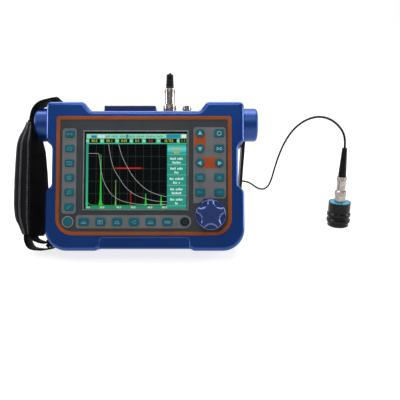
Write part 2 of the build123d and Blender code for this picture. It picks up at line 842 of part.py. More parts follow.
with BuildPart() as port_hinge:
    with BuildSketch(hinge_start.offset(port_cover_wall / 4)):
        Circle(hinge_pin / 2)
    extrude(amount=port_length - port_cover_wall / 2)
    for side in (1, -1):
        low_end = port_middle + side * lug_x - port_lug / 2
        with BuildSketch(sideways(low_end, hinge_height, hinge_depth, 1)):
            Circle(barrel - port_play)
            with Locations((0, (saddle_top - hinge_height) / 2)):
                Rectangle(2 * barrel - 2 * port_play, hinge_height - saddle_top)
        extrude(amount=port_lug)
save(port_hinge, "port_hinge")

# Pivot bolts, pressed into the bosses at both sides
with BuildPart() as pivot_bolts:
    for side in (1, -1):
        with BuildSketch(sideways(side * (half_body - bolt_grip), pivot_height, pivot_depth, side)):
            Circle(bolt_shank / 2)
        extrude(amount=bolt_grip + side_gap + bar_thickness + bolt_play)
        head_x = side * (half_body + side_gap + bar_thickness + bolt_play)
        with BuildSketch(sideways(head_x, pivot_height, pivot_depth, side)):
            Circle(bolt_head / 2)
        extrude(amount=bolt_head_height)
save(pivot_bolts, "pivot_bolts")

# Stand: a flat bar bent to a bail, standing out behind at the angle where its foot meets the floor
STAND = Plane(
    origin=on_face(0, pivot_height, pivot_depth),
    x_dir=(1, 0, 0),
    z_dir=(0, -stand_down, -stand_back),
)
bail_out = half_body + side_gap + bar_thickness
bail_in = half_body + side_gap
with BuildPart() as stand_bail:
    with BuildSketch(STAND.offset(-bar_width / 2)):
        with BuildLine():
            FilletPolyline(
                (-bail_out, bar_width / 2),
                (-bail_out, -stand_length),
                (bail_out, -stand_length),
                (bail_out, bar_width / 2),
                radius=bar_bend + bar_thickness,
            )
            Line((bail_out, bar_width / 2), (bail_in, bar_width / 2))
            FilletPolyline(
                (bail_in, bar_width / 2),
                (bail_in, bar_thickness - stand_length),
                (-bail_in, bar_thickness - stand_length),
                (-bail_in, bar_width / 2),
                radius=bar_bend,
            )
            Line((-bail_in, bar_width / 2), (-bail_out, bar_width / 2))
        make_face()
    extrude(amount=bar_width)
    ends = stand_bail.faces().sort_by(Axis(STAND.origin, STAND.y_dir))[-2:]
    fillet(ends.edges().filter_by(Axis.X), bar_width / 2 - 0.05)
    for side in (1, -1):
        with BuildSketch(sideways(side * bail_in, pivot_height, pivot_depth, side)):
            Circle(bolt_shank / 2 + bolt_gap)
        extrude(amount=bar_thickness, mode=Mode.SUBTRACT)
save(stand_bail, "stand_bail")

# Hubs: turned covers fixed over the ends of the bail
with BuildPart() as stand_hubs:
    for side in (1, -1):
        with BuildSketch(sideways(side * bail_in, pivot_height, pivot_depth, side)):
            Circle(hub_diameter / 2)
        extrude(amount=hub_width)
    rims = stand_hubs.faces().sort_by(Axis.X)
    fillet(rims[-1].edges() + rims[0].edges(), hub_round)
    for side in (1, -1):
        with BuildSketch(sideways(side * bail_out, pivot_height, pivot_depth, side)):
            Circle(bolt_head / 2 + bolt_play)
        extrude(amount=bolt_head_height + 2 * bolt_play, mode=Mode.SUBTRACT)
        with BuildSketch(sideways(side * bail_in, pivot_height, pivot_depth, side)):
            Circle(bolt_shank / 2 + bolt_gap)
        extrude(amount=bar_thickness, mode=Mode.SUBTRACT)
    add(stand_bail.part, mode=Mode.SUBTRACT)
save(stand_hubs, "stand_hubs")

# Strap anchors: bridges with a round bar, one on the left block's top and one round the corner below
def anchor_shape():
    """A bridge that stands up from the case, with its bar along y."""
    with BuildPart() as piece:
        for side in (1, -1):
            with BuildSketch(Plane.XY.offset(-anchor_sunk)):
                with Locations((0, side * (anchor_window / 2 + anchor_leg))):
                    RectangleRounded(2.5 * anchor_leg, 2 * anchor_leg, anchor_foot_round)
            extrude(amount=anchor_foot + anchor_sunk)
            with BuildSketch(Plane.XY):
                with Locations((0, side * (anchor_window / 2 + anchor_leg / 2))):
                    Rectangle(anchor_leg, anchor_leg)
            extrude(amount=anchor_height + anchor_bar / 2)
        with BuildSketch(Plane.XZ.offset(-anchor_window / 2)):
            with Locations((0, anchor_height)):
                Circle(anchor_bar / 2)
        extrude(amount=anchor_window)
    return piece.part


low_turn = radians(low_anchor_turn)
low_x = -half_body + bottom_corner * (1 - sin(low_turn))
low_y = body_bottom + bottom_corner * (1 + cos(low_turn))
across = Vector(cos(low_turn), 0, 0) + UP * sin(low_turn)
outward = Vector(-sin(low_turn), 0, 0) + UP * cos(low_turn)
top_place = upward(top_anchor_x, block_top, strap_depth)
low_place = Plane(origin=on_face(low_x, low_y, strap_depth), x_dir=across, z_dir=outward)
with BuildPart() as strap_anchors:
    with Locations(top_place, low_place):
        add(anchor_shape())
    add(case_block.part, mode=Mode.SUBTRACT)
save(strap_anchors, "strap_anchors")

# Hand strap: a padded sleeve on webbing that is folded round both anchor bars
STRAP = FACE.offset(-strap_depth)
top_bar = (top_anchor_x, block_top + anchor_height)
low_bar = (low_x - anchor_height * sin(low_turn), low_y + anchor_height * cos(low_turn))
ring_inside = anchor_bar / 2 + anchor_play
ring_middle = ring_inside + webbing_thickness / 2
# Corners of the pad: how far inside the strap's reach, height, radius, and how far the back edge turns in
pad_corners = [
    (7.6, 57, 2, 0),
    (3.2, 46, 30, 1),
    (0.4, 5, 60, 2),
    (0, -32, 40, 3),
    (1.4, -53, 14, 3),
    (8.4, -67, 2, 4),
    (13.6, -67, 2, 6),
    (15.6, -50, 30, 7),
    (15.6, -5, 80, 5),
    (15.9, 40, 20, 1),
    (12.2, 57, 2, 0),
]
with BuildPart() as strap_pad:
    for depth, turned in ((-pad_width / 2, 1), (pad_width / 2, 0)):
        corners = [(-strap_reach + x + turned * turn, y) for x, y, r, turn in pad_corners]
        with BuildSketch(STRAP.offset(depth)):
            with BuildLine():
                FilletPolyline(*corners, radius=[r for x, y, r, turn in pad_corners], close=True)
            make_face()
    loft(ruled=True)
save(strap_pad, "strap_pad")


def webbing_band(points, radius, thickness):
    """Outline of a band of webbing that follows points, seen along its width."""
    with BuildLine() as line:
        FilletPolyline(*points, radius=radius)
    with BuildSketch() as sketch:
        trace(line.edges(), thickness)
    return sketch.sketch


top_route = [
    (top_bar[0], top_bar[1] + ring_middle - webbing_thickness / 2 + 0.1),
    (top_bar[0] - 9, top_bar[1] + 0.6),
    (-strap_reach + 19.5, 88.5),
    (-strap_reach + 12.3, 79),
    (-strap_reach + 10.2, 66),
    (-strap_reach + 9.8, 54),
]
with BuildPart() as strap_webbing_top:
    with BuildSketch(STRAP.offset(-webbing_width / 2)):
        add(webbing_band(top_route, webbing_bend, webbing_double))
        with Locations(top_bar):
            Circle(ring_inside + webbing_thickness)
            Circle(ring_inside, mode=Mode.SUBTRACT)
    extrude(amount=webbing_width)
    add(strap_pad.part, mode=Mode.SUBTRACT)
save(strap_webbing_top, "strap_webbing_top")

outer_route = [
    (-strap_reach + 9.8, -64),
    (-strap_reach + 11.5, -75),
    (-strap_reach + 18, -81.5),
    (low_bar[0] - 10, low_bar[1] - 4.9),
    (low_bar[0] - 1, low_bar[1] - ring_middle),
]
inner_route = [
    (-strap_reach + 13.2, -64),
    (-strap_reach + 17, -73),
    (low_bar[0] - 13, low_bar[1] + 1.6),
    (low_bar[0] - 2, low_bar[1] + ring_middle - 0.3),
]
with BuildPart() as strap_webbing_low:
    with BuildSketch(STRAP.offset(-webbing_width / 2)):
        add(webbing_band(outer_route, webbing_bend, webbing_thickness))
        add(webbing_band(inner_route, webbing_bend, webbing_thickness))
        with Locations(low_bar):
            Circle(ring_inside + webbing_thickness)
            Circle(ring_inside, mode=Mode.SUBTRACT)
    extrude(amount=webbing_width)
    add(strap_pad.part, mode=Mode.SUBTRACT)
save(strap_webbing_low, "strap_webbing_low")

# Probe: a turned case with two grip rings, a cap let into its top and a socket
probe_edge = (probe_neck - probe_foot_width) / 2
probe_profile = [(0, 0), (probe_foot_width / 2, 0), (probe_neck / 2, probe_edge)]
for foot, low, high, top in probe_ring_lines:
    probe_profile += [(probe_neck / 2, foot), (probe_ring / 2, low)]
    probe_profile += [(probe_ring / 2, high), (probe_neck / 2, top)]
probe_profile += [
    (probe_neck / 2, probe_head_start),
    (probe_head / 2, probe_head_start + (probe_head - probe_neck) / 2),
    (probe_head / 2, probe_height),
    (probe_cap / 2, probe_height),
    (probe_cap / 2, probe_height - probe_cap_height),
    (0, probe_height - probe_cap_height),
]
probe_foot = Plane(origin=standing(probe_place[0], probe_place[1], 0))
with BuildPart() as probe_case:
    with BuildSketch(Plane.XZ):
        with BuildLine():
            Polyline(*probe_profile, close=True)
        make_face()
    revolve(axis=Axis.Z)
    with BuildSketch(Plane.XY.offset(probe_height)):
        Circle(socket_barrel / 2)
    extrude(amount=-socket_tail, mode=Mode.SUBTRACT)
probe_case.part = probe_case.part.moved(probe_foot.location)
save(probe_case, "probe_case")

with BuildPart() as probe_cap_disc:
    with BuildSketch(probe_foot.offset(probe_height - probe_cap_height)):
        Circle(probe_cap / 2)
        Circle(socket_barrel / 2, mode=Mode.SUBTRACT)
    extrude(amount=probe_cap_height)
save(probe_cap_disc, "probe_cap")

with BuildPart() as probe_socket:
    with Locations(probe_top):
        add(socket_shape())
save(probe_socket, "probe_socket")

# Lead: a plug and boot at each end, a drop behind the case, a coil and a run to the probe
with BuildPart() as lead_plugs:
    with Locations(plugged_place, probe_top):
        add(plug_shape())
save(lead_plugs, "lead_plugs")

with BuildPart() as lead_boots:
    with Locations(plugged_place):
        add(boot_shape(*upper_boot))
    with Locations(probe_top):
        add(boot_shape(*lower_boot))
save(lead_boots, "lead_boots")

coil_reach = coil_middle + lead_diameter * (coil_columns - 1) / 2
floor_line = lead_diameter / 2 + 0.1
coil_top = floor_line + lead_diameter * (coil_layers - 1)
drop_route = [
    (26.5, 71.8, 200.2),
    (26.5, 77.4, 198.0),
    (26.4, 80.0, 192.0),
    (26.3, 82.0, 181.5),
    (26.8, 86.5, 167.5),
    (28.0, 94.5, 150.5),
    (29.5, 107.0, 130.0),
    (31.3, 123.5, 107.0),
    (33.4, 143.5, 83.5),
    (35.6, 165.5, 60.5),
    (38.0, 188.5, 41.0),
    (40.6, 212.0, 25.0),
    (43.4, 235.0, 13.5),
    (46.2, 256.0, 8.0),
]
run_route = [
    (83.0, 293.2, 1.5),
    (104.0, 297.0, 1.5),
    (123.0, 304.0, 1.5),
    (139.0, 304.5, 1.5),
    (149.5, 292.0, 1.5),
    (154.5, 274.0, 1.5),
    (160.0, 257.0, 1.5),
    (167.5, 243.0, 4.0),
    (173.5, 233.0, 13.0),
    (177.0, 225.5, 27.0),
    (179.5, 216.5, 47.0),
    (183.0, 204.5, 70.0),
    (188.5, 190.0, 94.0),
    (197.0, 173.0, 116.0),
    (209.0, 154.5, 132.0),
    (223.0, 135.5, 140.5),
    (236.0, 117.0, 139.0),
    (245.7, 101.0, 129.5),
]


def tube_length(points, radii):
    """Length of a route with its corners rounded to the radii."""
    total = sum((b - a).length for a, b in zip(points, points[1:]))
    for a, b, c, radius in zip(points, points[1:], points[2:], radii):
        turn = radians((b - a).get_angle(c - b))
        total += radius * (turn - 2 * tan(turn / 2))
    return total


def lead_tube(points, name):
    """Sweep the lead along straight runs joined by arcs as large as the runs allow."""
    radii = []
    for a, b, c in zip(points, points[1:], points[2:]):
        turn = radians((b - a).get_angle(c - b))
        radii.append(0.45 * min((b - a).length, (c - b).length) / tan(turn / 2))
    with BuildPart() as piece:
        with BuildLine() as path:
            FilletPolyline(*points, radius=radii)
        with BuildSketch(Plane(origin=points[0], z_dir=points[1] - points[0])):
            Circle(lead_diameter / 2)
        sweep(path=path.line)
    length = tube_length(points, radii)
    print(name, "radii", [round(r, 1) for r in radii])
    print(name, "length", round(length, 1), "volume", round(piece.part.volume / (pi * lead_diameter**2 / 4), 1))
    return piece, length


boot_end = plugged_place.from_local_coords(Vector(0, 0, plug_top + upper_boot[2]))
boot_out = plugged_place.from_local_coords(Vector(0, 0, plug_top + upper_boot[2] + upper_straight))
coil_in = standing(coil_center[0] - coil_reach, coil_center[1], coil_top)
coil_out = standing(coil_center[0], coil_center[1] + coil_reach, floor_line)
probe_end = probe_top.from_local_coords(Vector(0, 0, plug_top + lower_boot[2]))
probe_out = probe_top.from_local_coords(Vector(0, 0, plug_top + lower_boot[2] + lower_straight))
drop_points = [boot_end, boot_out] + [standing(*p) for p in drop_route] + [coil_in]
run_points = [coil_out] + [standing(*p) for p in run_route] + [probe_out, probe_end]
lead_drop, drop_length = lead_tube(drop_points, "lead_drop")
lead_run, run_length = lead_tube(run_points, "lead_run")
save(lead_drop, "lead_drop")
save(lead_run, "lead_run")

# Coil of the spare length: turns beside and on each other
with BuildPart() as lead_coil:
    with BuildSketch(Plane(origin=standing(coil_center[0], coil_center[1], floor_line - lead_diameter / 2))):
        Circle(coil_reach + lead_diameter / 2)
        Circle(coil_reach - lead_diameter * (coil_columns - 1 / 2), mode=Mode.SUBTRACT)
    extrude(amount=lead_diameter * coil_layers)
    add(lead_drop.part, mode=Mode.SUBTRACT)
    add(lead_run.part, mode=Mode.SUBTRACT)
save(lead_coil, "lead_coil")
coil_length = coil_turns * 2 * pi * coil_middle
print("lead", round(drop_length + run_length + coil_length), "mm, of it in the coil", round(coil_length))
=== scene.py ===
import bpy
from math import acos, cos, degrees, hypot, pi, radians, sin, tau
from mathutils import Matrix, Vector, noise


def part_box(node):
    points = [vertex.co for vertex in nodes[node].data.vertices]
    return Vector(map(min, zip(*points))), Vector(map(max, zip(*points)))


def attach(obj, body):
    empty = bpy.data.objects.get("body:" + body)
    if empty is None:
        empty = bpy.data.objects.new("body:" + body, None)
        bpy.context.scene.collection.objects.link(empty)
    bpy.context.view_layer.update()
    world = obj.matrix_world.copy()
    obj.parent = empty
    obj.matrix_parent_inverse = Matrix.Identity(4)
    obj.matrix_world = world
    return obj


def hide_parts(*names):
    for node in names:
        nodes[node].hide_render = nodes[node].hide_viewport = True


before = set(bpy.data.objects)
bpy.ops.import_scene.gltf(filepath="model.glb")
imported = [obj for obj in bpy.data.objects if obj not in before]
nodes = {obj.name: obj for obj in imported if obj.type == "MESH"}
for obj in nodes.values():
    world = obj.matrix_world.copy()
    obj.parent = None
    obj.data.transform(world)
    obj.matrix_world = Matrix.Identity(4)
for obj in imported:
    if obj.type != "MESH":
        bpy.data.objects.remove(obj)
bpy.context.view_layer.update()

# Camera: in front of the instrument and to its right, as the photographer stood, looking down by
# 18 degrees through a normal lens.
camera = bpy.data.objects.new("camera", bpy.data.cameras.new("camera"))
bpy.context.scene.collection.objects.link(camera)
camera.location = (0.0707, -0.5749, 0.2371)
look_down = 18
camera.rotation_euler = (radians(90 - look_down), 0, 0)
camera.data.lens = 44
camera.data.sensor_width = 36
camera.data.clip_start = 0.01
bpy.context.scene.camera = camera
bpy.context.scene.view_settings.view_transform = "Standard"


# Lead: a thin coaxial cable in a smooth black jacket, 1.485 m long. It leaves the upper boot, drops
# behind the case, lies in a neat coil of eight turns and comes forward in a high arc to the probe.
def colour(code):
    """Linear colour of an sRGB hex code."""
    parts = [int(code[i : i + 2], 16) / 255 for i in (0, 2, 4)]
    return [*(c / 12.92 if c <= 0.04045 else ((c + 0.055) / 1.055) ** 2.4 for c in parts), 1.0]


def add_node(tree, kind, settings=None, **inputs):
    """A node with its settings, and inputs by name or number from values or other nodes' outputs."""
    node = tree.nodes.new(kind)
    for key, value in (settings or {}).items():
        setattr(node, key, value)
    for key, value in inputs.items():
        if key[:2] == "in" and key[2:].isdigit():
            socket = node.inputs[int(key[2:])]
        else:
            socket = next(s for s in node.inputs if s.name.replace(" ", "_").lower() == key)
        if isinstance(value, bpy.types.NodeSocket):
            tree.links.new(value, socket)
        else:
            socket.default_value = value
    return node


def new_material(name, base, roughness, specular=0.25, **sockets):
    """A material with its colour, roughness and shine, for grain or weave to add the pattern to."""
    material = bpy.data.materials.new(name)
    material.use_nodes = True
    shader = material.node_tree.nodes["Principled BSDF"]
    shader.inputs["Base Color"].default_value = colour(base)
    shader.inputs["Roughness"].default_value = roughness
    shader.inputs["Specular IOR Level"].default_value = specular
    for key, value in sockets.items():
        next(s for s in shader.inputs if s.name.replace(" ", "_").lower() == key).default_value = value
    return material


def grain(material, size_mm, depth_mm, light=None, dark=None, blotch_mm=30, gloss=0.0):
    """Fine bumps of size_mm, and colour and gloss that vary softly over blotch_mm."""
    tree = material.node_tree
    shader = tree.nodes["Principled BSDF"]
    where = add_node(tree, "ShaderNodeTexCoord").outputs["Object"]
    fine = add_node(tree, "ShaderNodeTexNoise", vector=where, scale=1000 / size_mm, detail=3.0)
    depth = depth_mm / 1000
    bump = add_node(tree, "ShaderNodeBump", height=fine.outputs["Fac"], distance=depth, strength=1.0)
    tree.links.new(bump.outputs["Normal"], shader.inputs["Normal"])
    soft = add_node(tree, "ShaderNodeTexNoise", vector=where, scale=1000 / blotch_mm, detail=4.0)
    if light:
        ramp = add_node(tree, "ShaderNodeValToRGB", fac=soft.outputs["Fac"])
        ramp.color_ramp.elements[0].position = 0.3
        ramp.color_ramp.elements[0].color = colour(dark)
        ramp.color_ramp.elements[1].position = 0.7
        ramp.color_ramp.elements[1].color = colour(light)
        tree.links.new(ramp.outputs["Color"], shader.inputs["Base Color"])
    if gloss:
        rough = shader.inputs["Roughness"].default_value
        spread = add_node(tree, "ShaderNodeMapRange", value=soft.outputs["Fac"])
        spread.inputs["To Min"].default_value = rough - gloss
        spread.inputs["To Max"].default_value = rough + gloss
        tree.links.new(spread.outputs["Result"], shader.inputs["Roughness"])
    return material


def dress(material, *names):
    """Give CAD nodes a material."""
    for name in names:
        mesh = nodes[name].data
        mesh.materials.clear()
        mesh.materials.append(material)


lean = radians(21)  # of the face, back from upright
face_x, face_y, face_z = 8.5, -43.8978, 92.822  # its middle, in mm
FACE = Matrix((
    (1, 0, 0, face_x / 1000),
    (0, sin(lean), -cos(lean), face_y / 1000),
    (0, cos(lean), sin(lean), face_z / 1000),
    (0, 0, 0, 1),
))


def on_face(x, y, depth):
    """A point right of, above and behind the middle of the face, in metres from millimetres."""
    return FACE @ (Vector((x, y, -depth)) / 1000)


def standing(x, y, z):
    """A point from the table under the middle of the face, in metres from millimetres."""
    return Vector((x + face_x, y + face_y, z)) / 1000


drop_route = [
    (26.5, 71.8, 200.2), (26.5, 77.4, 198.0), (26.4, 80.0, 192.0), (26.3, 82.0, 181.5),
    (26.8, 86.5, 167.5), (28.0, 94.5, 150.5), (29.5, 107.0, 130.0), (31.3, 123.5, 107.0),
    (33.4, 143.5, 83.5), (35.6, 165.5, 60.5), (38.0, 188.5, 41.0), (40.6, 212.0, 25.0),
    (43.4, 235.0, 13.5), (46.2, 256.0, 8.0),
]
run_route = [
    (83.0, 293.2, 1.5), (104.0, 297.0, 1.5), (123.0, 304.0, 1.5), (139.0, 304.5, 1.5),
    (149.5, 292.0, 1.5), (154.5, 274.0, 1.5), (160.0, 257.0, 1.5), (167.5, 243.0, 4.0),
    (173.5, 233.0, 13.0), (177.0, 225.5, 27.0), (179.5, 216.5, 47.0), (183.0, 204.5, 70.0),
    (188.5, 190.0, 94.0), (197.0, 173.0, 116.0), (209.0, 154.5, 132.0), (223.0, 135.5, 140.5),
    (236.0, 117.0, 139.0), (245.7, 101.0, 129.5),
]
# Radius and height of each turn of the coil, from the outer top one down to the outer lowest one
coil_places = [
    (18.2, 7.1), (15.4, 7.1), (12.6, 7.1), (12.6, 4.3), (12.6, 1.5), (15.4, 1.5),
    (15.4, 4.3), (18.2, 4.3), (18.2, 1.5),
]
coil_x, coil_y = 64.4, 275.0
coil_turns = 8.25
turn_points = 18
all_back = 60  # degrees by which all changes of place come earlier
step_back = 25.0  # and by which each comes earlier in its turn than the one before
change = 28.0  # degrees that a change takes
coil_route = []
for i in range(int(coil_turns * turn_points) + 1):
    angle = 360.0 * i / turn_points
    radius, height = coil_places[0]
    for k in range(len(coil_places) - 1):
        done = min(1.0, max(0.0, (angle - (k + 1) * 360 + (k + 1) * step_back + all_back) / change))
        radius += (coil_places[k + 1][0] - coil_places[k][0]) * done
        height += (coil_places[k + 1][1] - coil_places[k][1]) * done
    turn = radians(180 - angle)
    coil_route.append((coil_x + radius * cos(turn), coil_y + radius * sin(turn), height))
plug_x, plug_y, plug_depth = 26.5, 71, 24  # foot of the upper plug, from the middle of the face
probe_x, probe_y, probe_height = 249, 90, 33  # foot of the lower plug, on the probe
plug_length = 34.8
upper_exit, lower_exit = 10.0, 38  # where the lead comes out, above each plug
boot_end = on_face(plug_x, plug_y + plug_length + upper_exit, plug_depth)
boot_out = on_face(plug_x, plug_y + plug_length + upper_exit + 6, plug_depth)
probe_end = standing(probe_x, probe_y, probe_height + plug_length + lower_exit)
probe_out = standing(probe_x, probe_y, probe_height + plug_length + lower_exit + 12)
route = [boot_end, boot_out] + [standing(*p) for p in drop_route + coil_route + run_route]
route += [probe_out, probe_end]
line = bpy.data.curves.new("lead", "CURVE")
line.dimensions = "3D"
spline = line.splines.new("NURBS")
spline.points.add(len(route) - 1)
for point, place in zip(spline.points, route):
    point.co = (*place, 1)
spline.order_u = 3
spline.use_endpoint_u = True
spline.resolution_u = 8
line.bevel_depth = 0.0014  # half the lead's diameter
line.bevel_resolution = 5
lead = bpy.data.objects.new("lead", line)
bpy.context.scene.collection.objects.link(lead)
# Black plastic with a faint grain: it stays dark and shows only a thin dull streak of light
lead_jacket = new_material("lead_jacket", "0c0c0d", 0.5, specular=0.08)
grain(lead_jacket, 0.5, 0.01, "101011", "080809")
line.materials.append(lead_jacket)
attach(lead, "instrument")
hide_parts("lead_drop", "lead_coil", "lead_run")


# Plugs, sockets and boots: turned brass, nickel plated. Each plug has a knurled collar and nut to grip
# it by, and a moulded rubber boot on its end keeps the lead from kinking.
def piece(name, points, faces, material, body, place=FACE, smooth=False, uv=None):
    """A mesh in mm in the frame of its place, with one material or one for each face."""
    mesh = bpy.data.meshes.new(name)
    mesh.from_pydata([Vector(p) / 1000 for p in points], [], faces)
    several = isinstance(material, list)
    kinds = list(dict.fromkeys(material)) if several else [material]
    for kind in kinds:
        mesh.materials.append(kind)
    for i, face in enumerate(mesh.polygons):
        face.use_smooth = smooth
        face.material_index = kinds.index(material[i]) if several else 0
    if uv:
        layer = mesh.uv_layers.new(name="cloth")
        for loop in mesh.loops:
            layer.data[loop.index].uv = (uv[loop.vertex_index][0] / 1000, uv[loop.vertex_index][1] / 1000)
    mesh.validate()
    made = bpy.data.objects.new(name, mesh)
    bpy.context.scene.collection.objects.link(made)
    made.matrix_world = place
    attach(made, body)
    return made


def rings(loops, closed_ends=True):
    """Points and faces of a skin over loops of equal length."""
    count = len(loops[0])
    points = [p for loop in loops for p in loop]
    faces = []
    for i in range(len(loops) - 1):
        for j in range(count):
            a = i * count + j
            b = i * count + (j + 1) % count
            faces.append((a, b, b + count, a + count))
    if closed_ends:
        faces.append(tuple(reversed(range(count))))
        faces.append(tuple(range(len(points) - count, len(points))))
    return points, faces


# Warm grey plating: soft bright reflections that break up along the knurls
nickel_plate = new_material("nickel_plate", "a59e97", 0.22, metallic=1.0)
grain(nickel_plate, 0.4, 0.004, "b0a9a2", "8f8982", blotch_mm=6, gloss=0.08)
dress(nickel_plate, "bnc_sockets", "lead_plugs", "probe_socket")
# Soft black rubber: nearly no shine, so that only the ribs' edges show
boot_rubber = new_material("boot_rubber", "121214", 0.5, specular=0.12)
grain(boot_rubber, 0.6, 0.02, "18181a", "0d0d0f", blotch_mm=8)
dress(boot_rubber, "lead_boots")
plugged = FACE @ Matrix.Translation(Vector((plug_x, plug_y, -plug_depth)) / 1000)
plugged = plugged @ Matrix.Rotation(radians(-90), 4, "X")
probe_top = Matrix.Translation(standing(probe_x, probe_y, probe_height))
# Height and radius along the ribbed boot
boot_profile = [
    (34.6, 4.6), (35.2, 4.8), (37.6, 4.7), (38.0, 4.2), (38.5, 4.2), (38.9, 4.6), (41.2, 4.5), (41.6, 4.0),
    (42.1, 4.0), (42.5, 4.4), (44.8, 4.3), (45.2, 3.8), (45.7, 3.8), (46.1, 4.2), (51.4, 4.0), (52.0, 3.5),
    (52.1, 1.45),
]
boot_sides = 32
loops = []
for height, radius in boot_profile:
    turns = [tau * j / boot_sides for j in range(boot_sides)]
    loops.append([(radius * cos(t), radius * sin(t), height) for t in turns])
points, faces = rings(loops)
piece("upper_boot_ribs", points, faces, boot_rubber, "instrument", plugged, smooth=True)
# Knurled bands: lowest and highest point on the plug, radius and number of teeth
knurls = [("grip", 9.5, 14.4, 7.35, 44), ("nut", 29.4, 34.2, 6.1, 36)]
tooth_height = 0.28
chamfer = 0.5
for name, place in (("upper", plugged), ("lower", probe_top)):
    for part, low, high, radius, teeth in knurls:
        loops = []
        for height, drop in ((low, chamfer), (low + chamfer, 0), (high - chamfer, 0), (high, chamfer)):
            turned = []
            for i in range(teeth * 4):
                tooth = (0, tooth_height, tooth_height, 0)[i % 4]
                r = radius + tooth - drop
                turned.append((r * cos(tau * i / teeth / 4), r * sin(tau * i / teeth / 4), height))
            loops.append(turned)
        points, faces = rings(loops)
        piece(f"{name}_plug_{part}", points, faces, nickel_plate, "instrument", place)

# Probe: a case turned from steel and blackened, with two grip rings round it. A painted disc closes
# its top, and the socket for the lead's lower plug stands in the middle of the disc.
# Smooth black: it mirrors the lamps in narrow bright lines along the turned rings
blackened_steel = new_material("blackened_steel", "0c0d0f", 0.22, specular=0.2)
grain(blackened_steel, 0.8, 0.004, "101113", "08090a", blotch_mm=9, gloss=0.04)
dress(blackened_steel, "probe_case")
# Clean cyan with a faint mottle
disc_paint = new_material("disc_paint", "2aa2c6", 0.35)
grain(disc_paint, 1.0, 0.01, "38b0d2", "2191b5", blotch_mm=7, gloss=0.05)
dress(disc_paint, "probe_cap")

# Case: two shells moulded in blue plastic with a fine spark texture, screwed together from the back
# with a rubber seal between them. The stand's hubs are moulded in the same blue.
sky = (0.5, 0.78, 1.0, 1.0)
# Coated plastic: deep blue where it faces the eye, pale and bright where an edge turns away
case_plastic = new_material(
    "case_plastic", "084090", 0.33, metallic=0.6, specular_tint=sky,
    coat_weight=0.7, coat_roughness=0.14, coat_ior=1.5,
)
grain(case_plastic, 0.45, 0.012, "0a4496", "063c8a", blotch_mm=45, gloss=0.05)
dress(case_plastic, "front_housing", "rear_housing", "battery_door")
# The same blue with a duller coat, so that the round hubs shade softly from top to bottom
hub_plastic = new_material(
    "hub_plastic", "084090", 0.45, metallic=0.6, specular_tint=sky,
    coat_weight=0.7, coat_roughness=0.32, coat_ior=1.5,
)
grain(hub_plastic, 0.45, 0.012, "0a4496", "063c8a", blotch_mm=45, gloss=0.05)
dress(hub_plastic, "stand_hubs")
# Matt dark rubber with a coarse skin
moulded_rubber = new_material("moulded_rubber", "191919", 0.7)
grain(moulded_rubber, 0.7, 0.03, "202020", "131313", blotch_mm=12)
dress(moulded_rubber, "housing_gasket", "rubber_feet")
# Pale plated metal with cloudy reflections
zinc_steel = new_material("zinc_steel", "b4b4b2", 0.35, metallic=1.0)
grain(zinc_steel, 0.6, 0.01, "c0c0bc", "a2a29e", blotch_mm=8, gloss=0.08)
dress(zinc_steel, "case_screws", "pivot_bolts", "encoder")

# Trim frame and face panel: an orange moulded frame is pressed in round a dark grey panel film. Fields
# of a lighter film lie round the keys.
# Satin orange that keeps its colour up to its edges
trim_plastic = new_material("trim_plastic", "a8551f", 0.4)
grain(trim_plastic, 0.5, 0.01, "ae5a22", "a04e1b", blotch_mm=30, gloss=0.05)
dress(trim_plastic, "trim_frame")
# Films with a fine matt grain, which look even and flat under the lamps
panel_film = new_material("panel_film", "43474b", 0.5)
grain(panel_film, 0.25, 0.01, "474b4f", "3f4347", blotch_mm=25, gloss=0.06)
dress(panel_film, "face_panel")
surround_film = new_material("surround_film", "7c7e80", 0.5)
grain(surround_film, 0.25, 0.01, "828486", "757779", blotch_mm=25, gloss=0.06)
dress(surround_film, "key_surrounds")

# Bars between the arrow keys: orange ink printed on the light field. One lies between up and down and
# one between left and right, each cut out round its two keys.
# Flat ink, a little redder than the frame
bar_ink = new_material("bar_ink", "c2561c", 0.5)
grain(bar_ink, 0.3, 0.004, "c85b1f", "ba5019", blotch_mm=10)


def slab(outline, low, high):
    """Points and faces of a flat plate with that outline."""
    return rings([[(x, y, low) for x, y in outline], [(x, y, high) for x, y in outline]])


def bite(x, y, radius, start, sweep, steps=16):
    """Points along an arc, angles in degrees."""
    turns = [radians(start + sweep * i / steps) for i in range(steps + 1)]
    return [(x + radius * cos(t), y + radius * sin(t)) for t in turns]


left_key, right_key = 62.3, 83.9  # across, from the middle of the face
up_key, down_key, side_keys = 48.7, 31.4, 15.0  # and above it
gap_round_key = 5.4  # radius that is left free
half_bar = 6.25
ink_low, ink_high = 0.29, 0.34  # over the face
outline = bite(left_key, up_key, gap_round_key, 0, -180)
outline += [(left_key - half_bar, up_key), (left_key - half_bar, down_key)]
outline += bite(left_key, down_key, gap_round_key, 180, -180)
outline += [(left_key + half_bar, down_key), (left_key + half_bar, up_key)]
points, faces = slab(outline, ink_low, ink_high)
piece("bar_between_up_and_down", points, faces, bar_ink, "instrument")
outline = bite(right_key, side_keys, gap_round_key, -90, -180)
outline += [(right_key, side_keys + half_bar), (left_key, side_keys + half_bar)]
outline += bite(left_key, side_keys, gap_round_key, 90, -180)
outline += [(left_key, side_keys - half_bar), (right_key, side_keys - half_bar)]
points, faces = slab(outline, ink_low, ink_high)
piece("bar_between_left_and_right", points, faces, bar_ink, "instrument")

# Keys: silicone rubber caps in teal, one of them dark, which stand up through the panel. Each has a
# small plain sign printed on its top, brightest on the arrows and faint on the keys at the sides.
# Satin rubber: a soft sheen on the tops and darker sides
key_silicone = new_material("key_silicone", "156c7c", 0.4)
grain(key_silicone, 0.5, 0.01, "187484", "126474", blotch_mm=12, gloss=0.05)
dark_silicone = new_material("dark_silicone", "18212d", 0.4)
grain(dark_silicone, 0.5, 0.01, "1d2733", "131b26", blotch_mm=12, gloss=0.05)
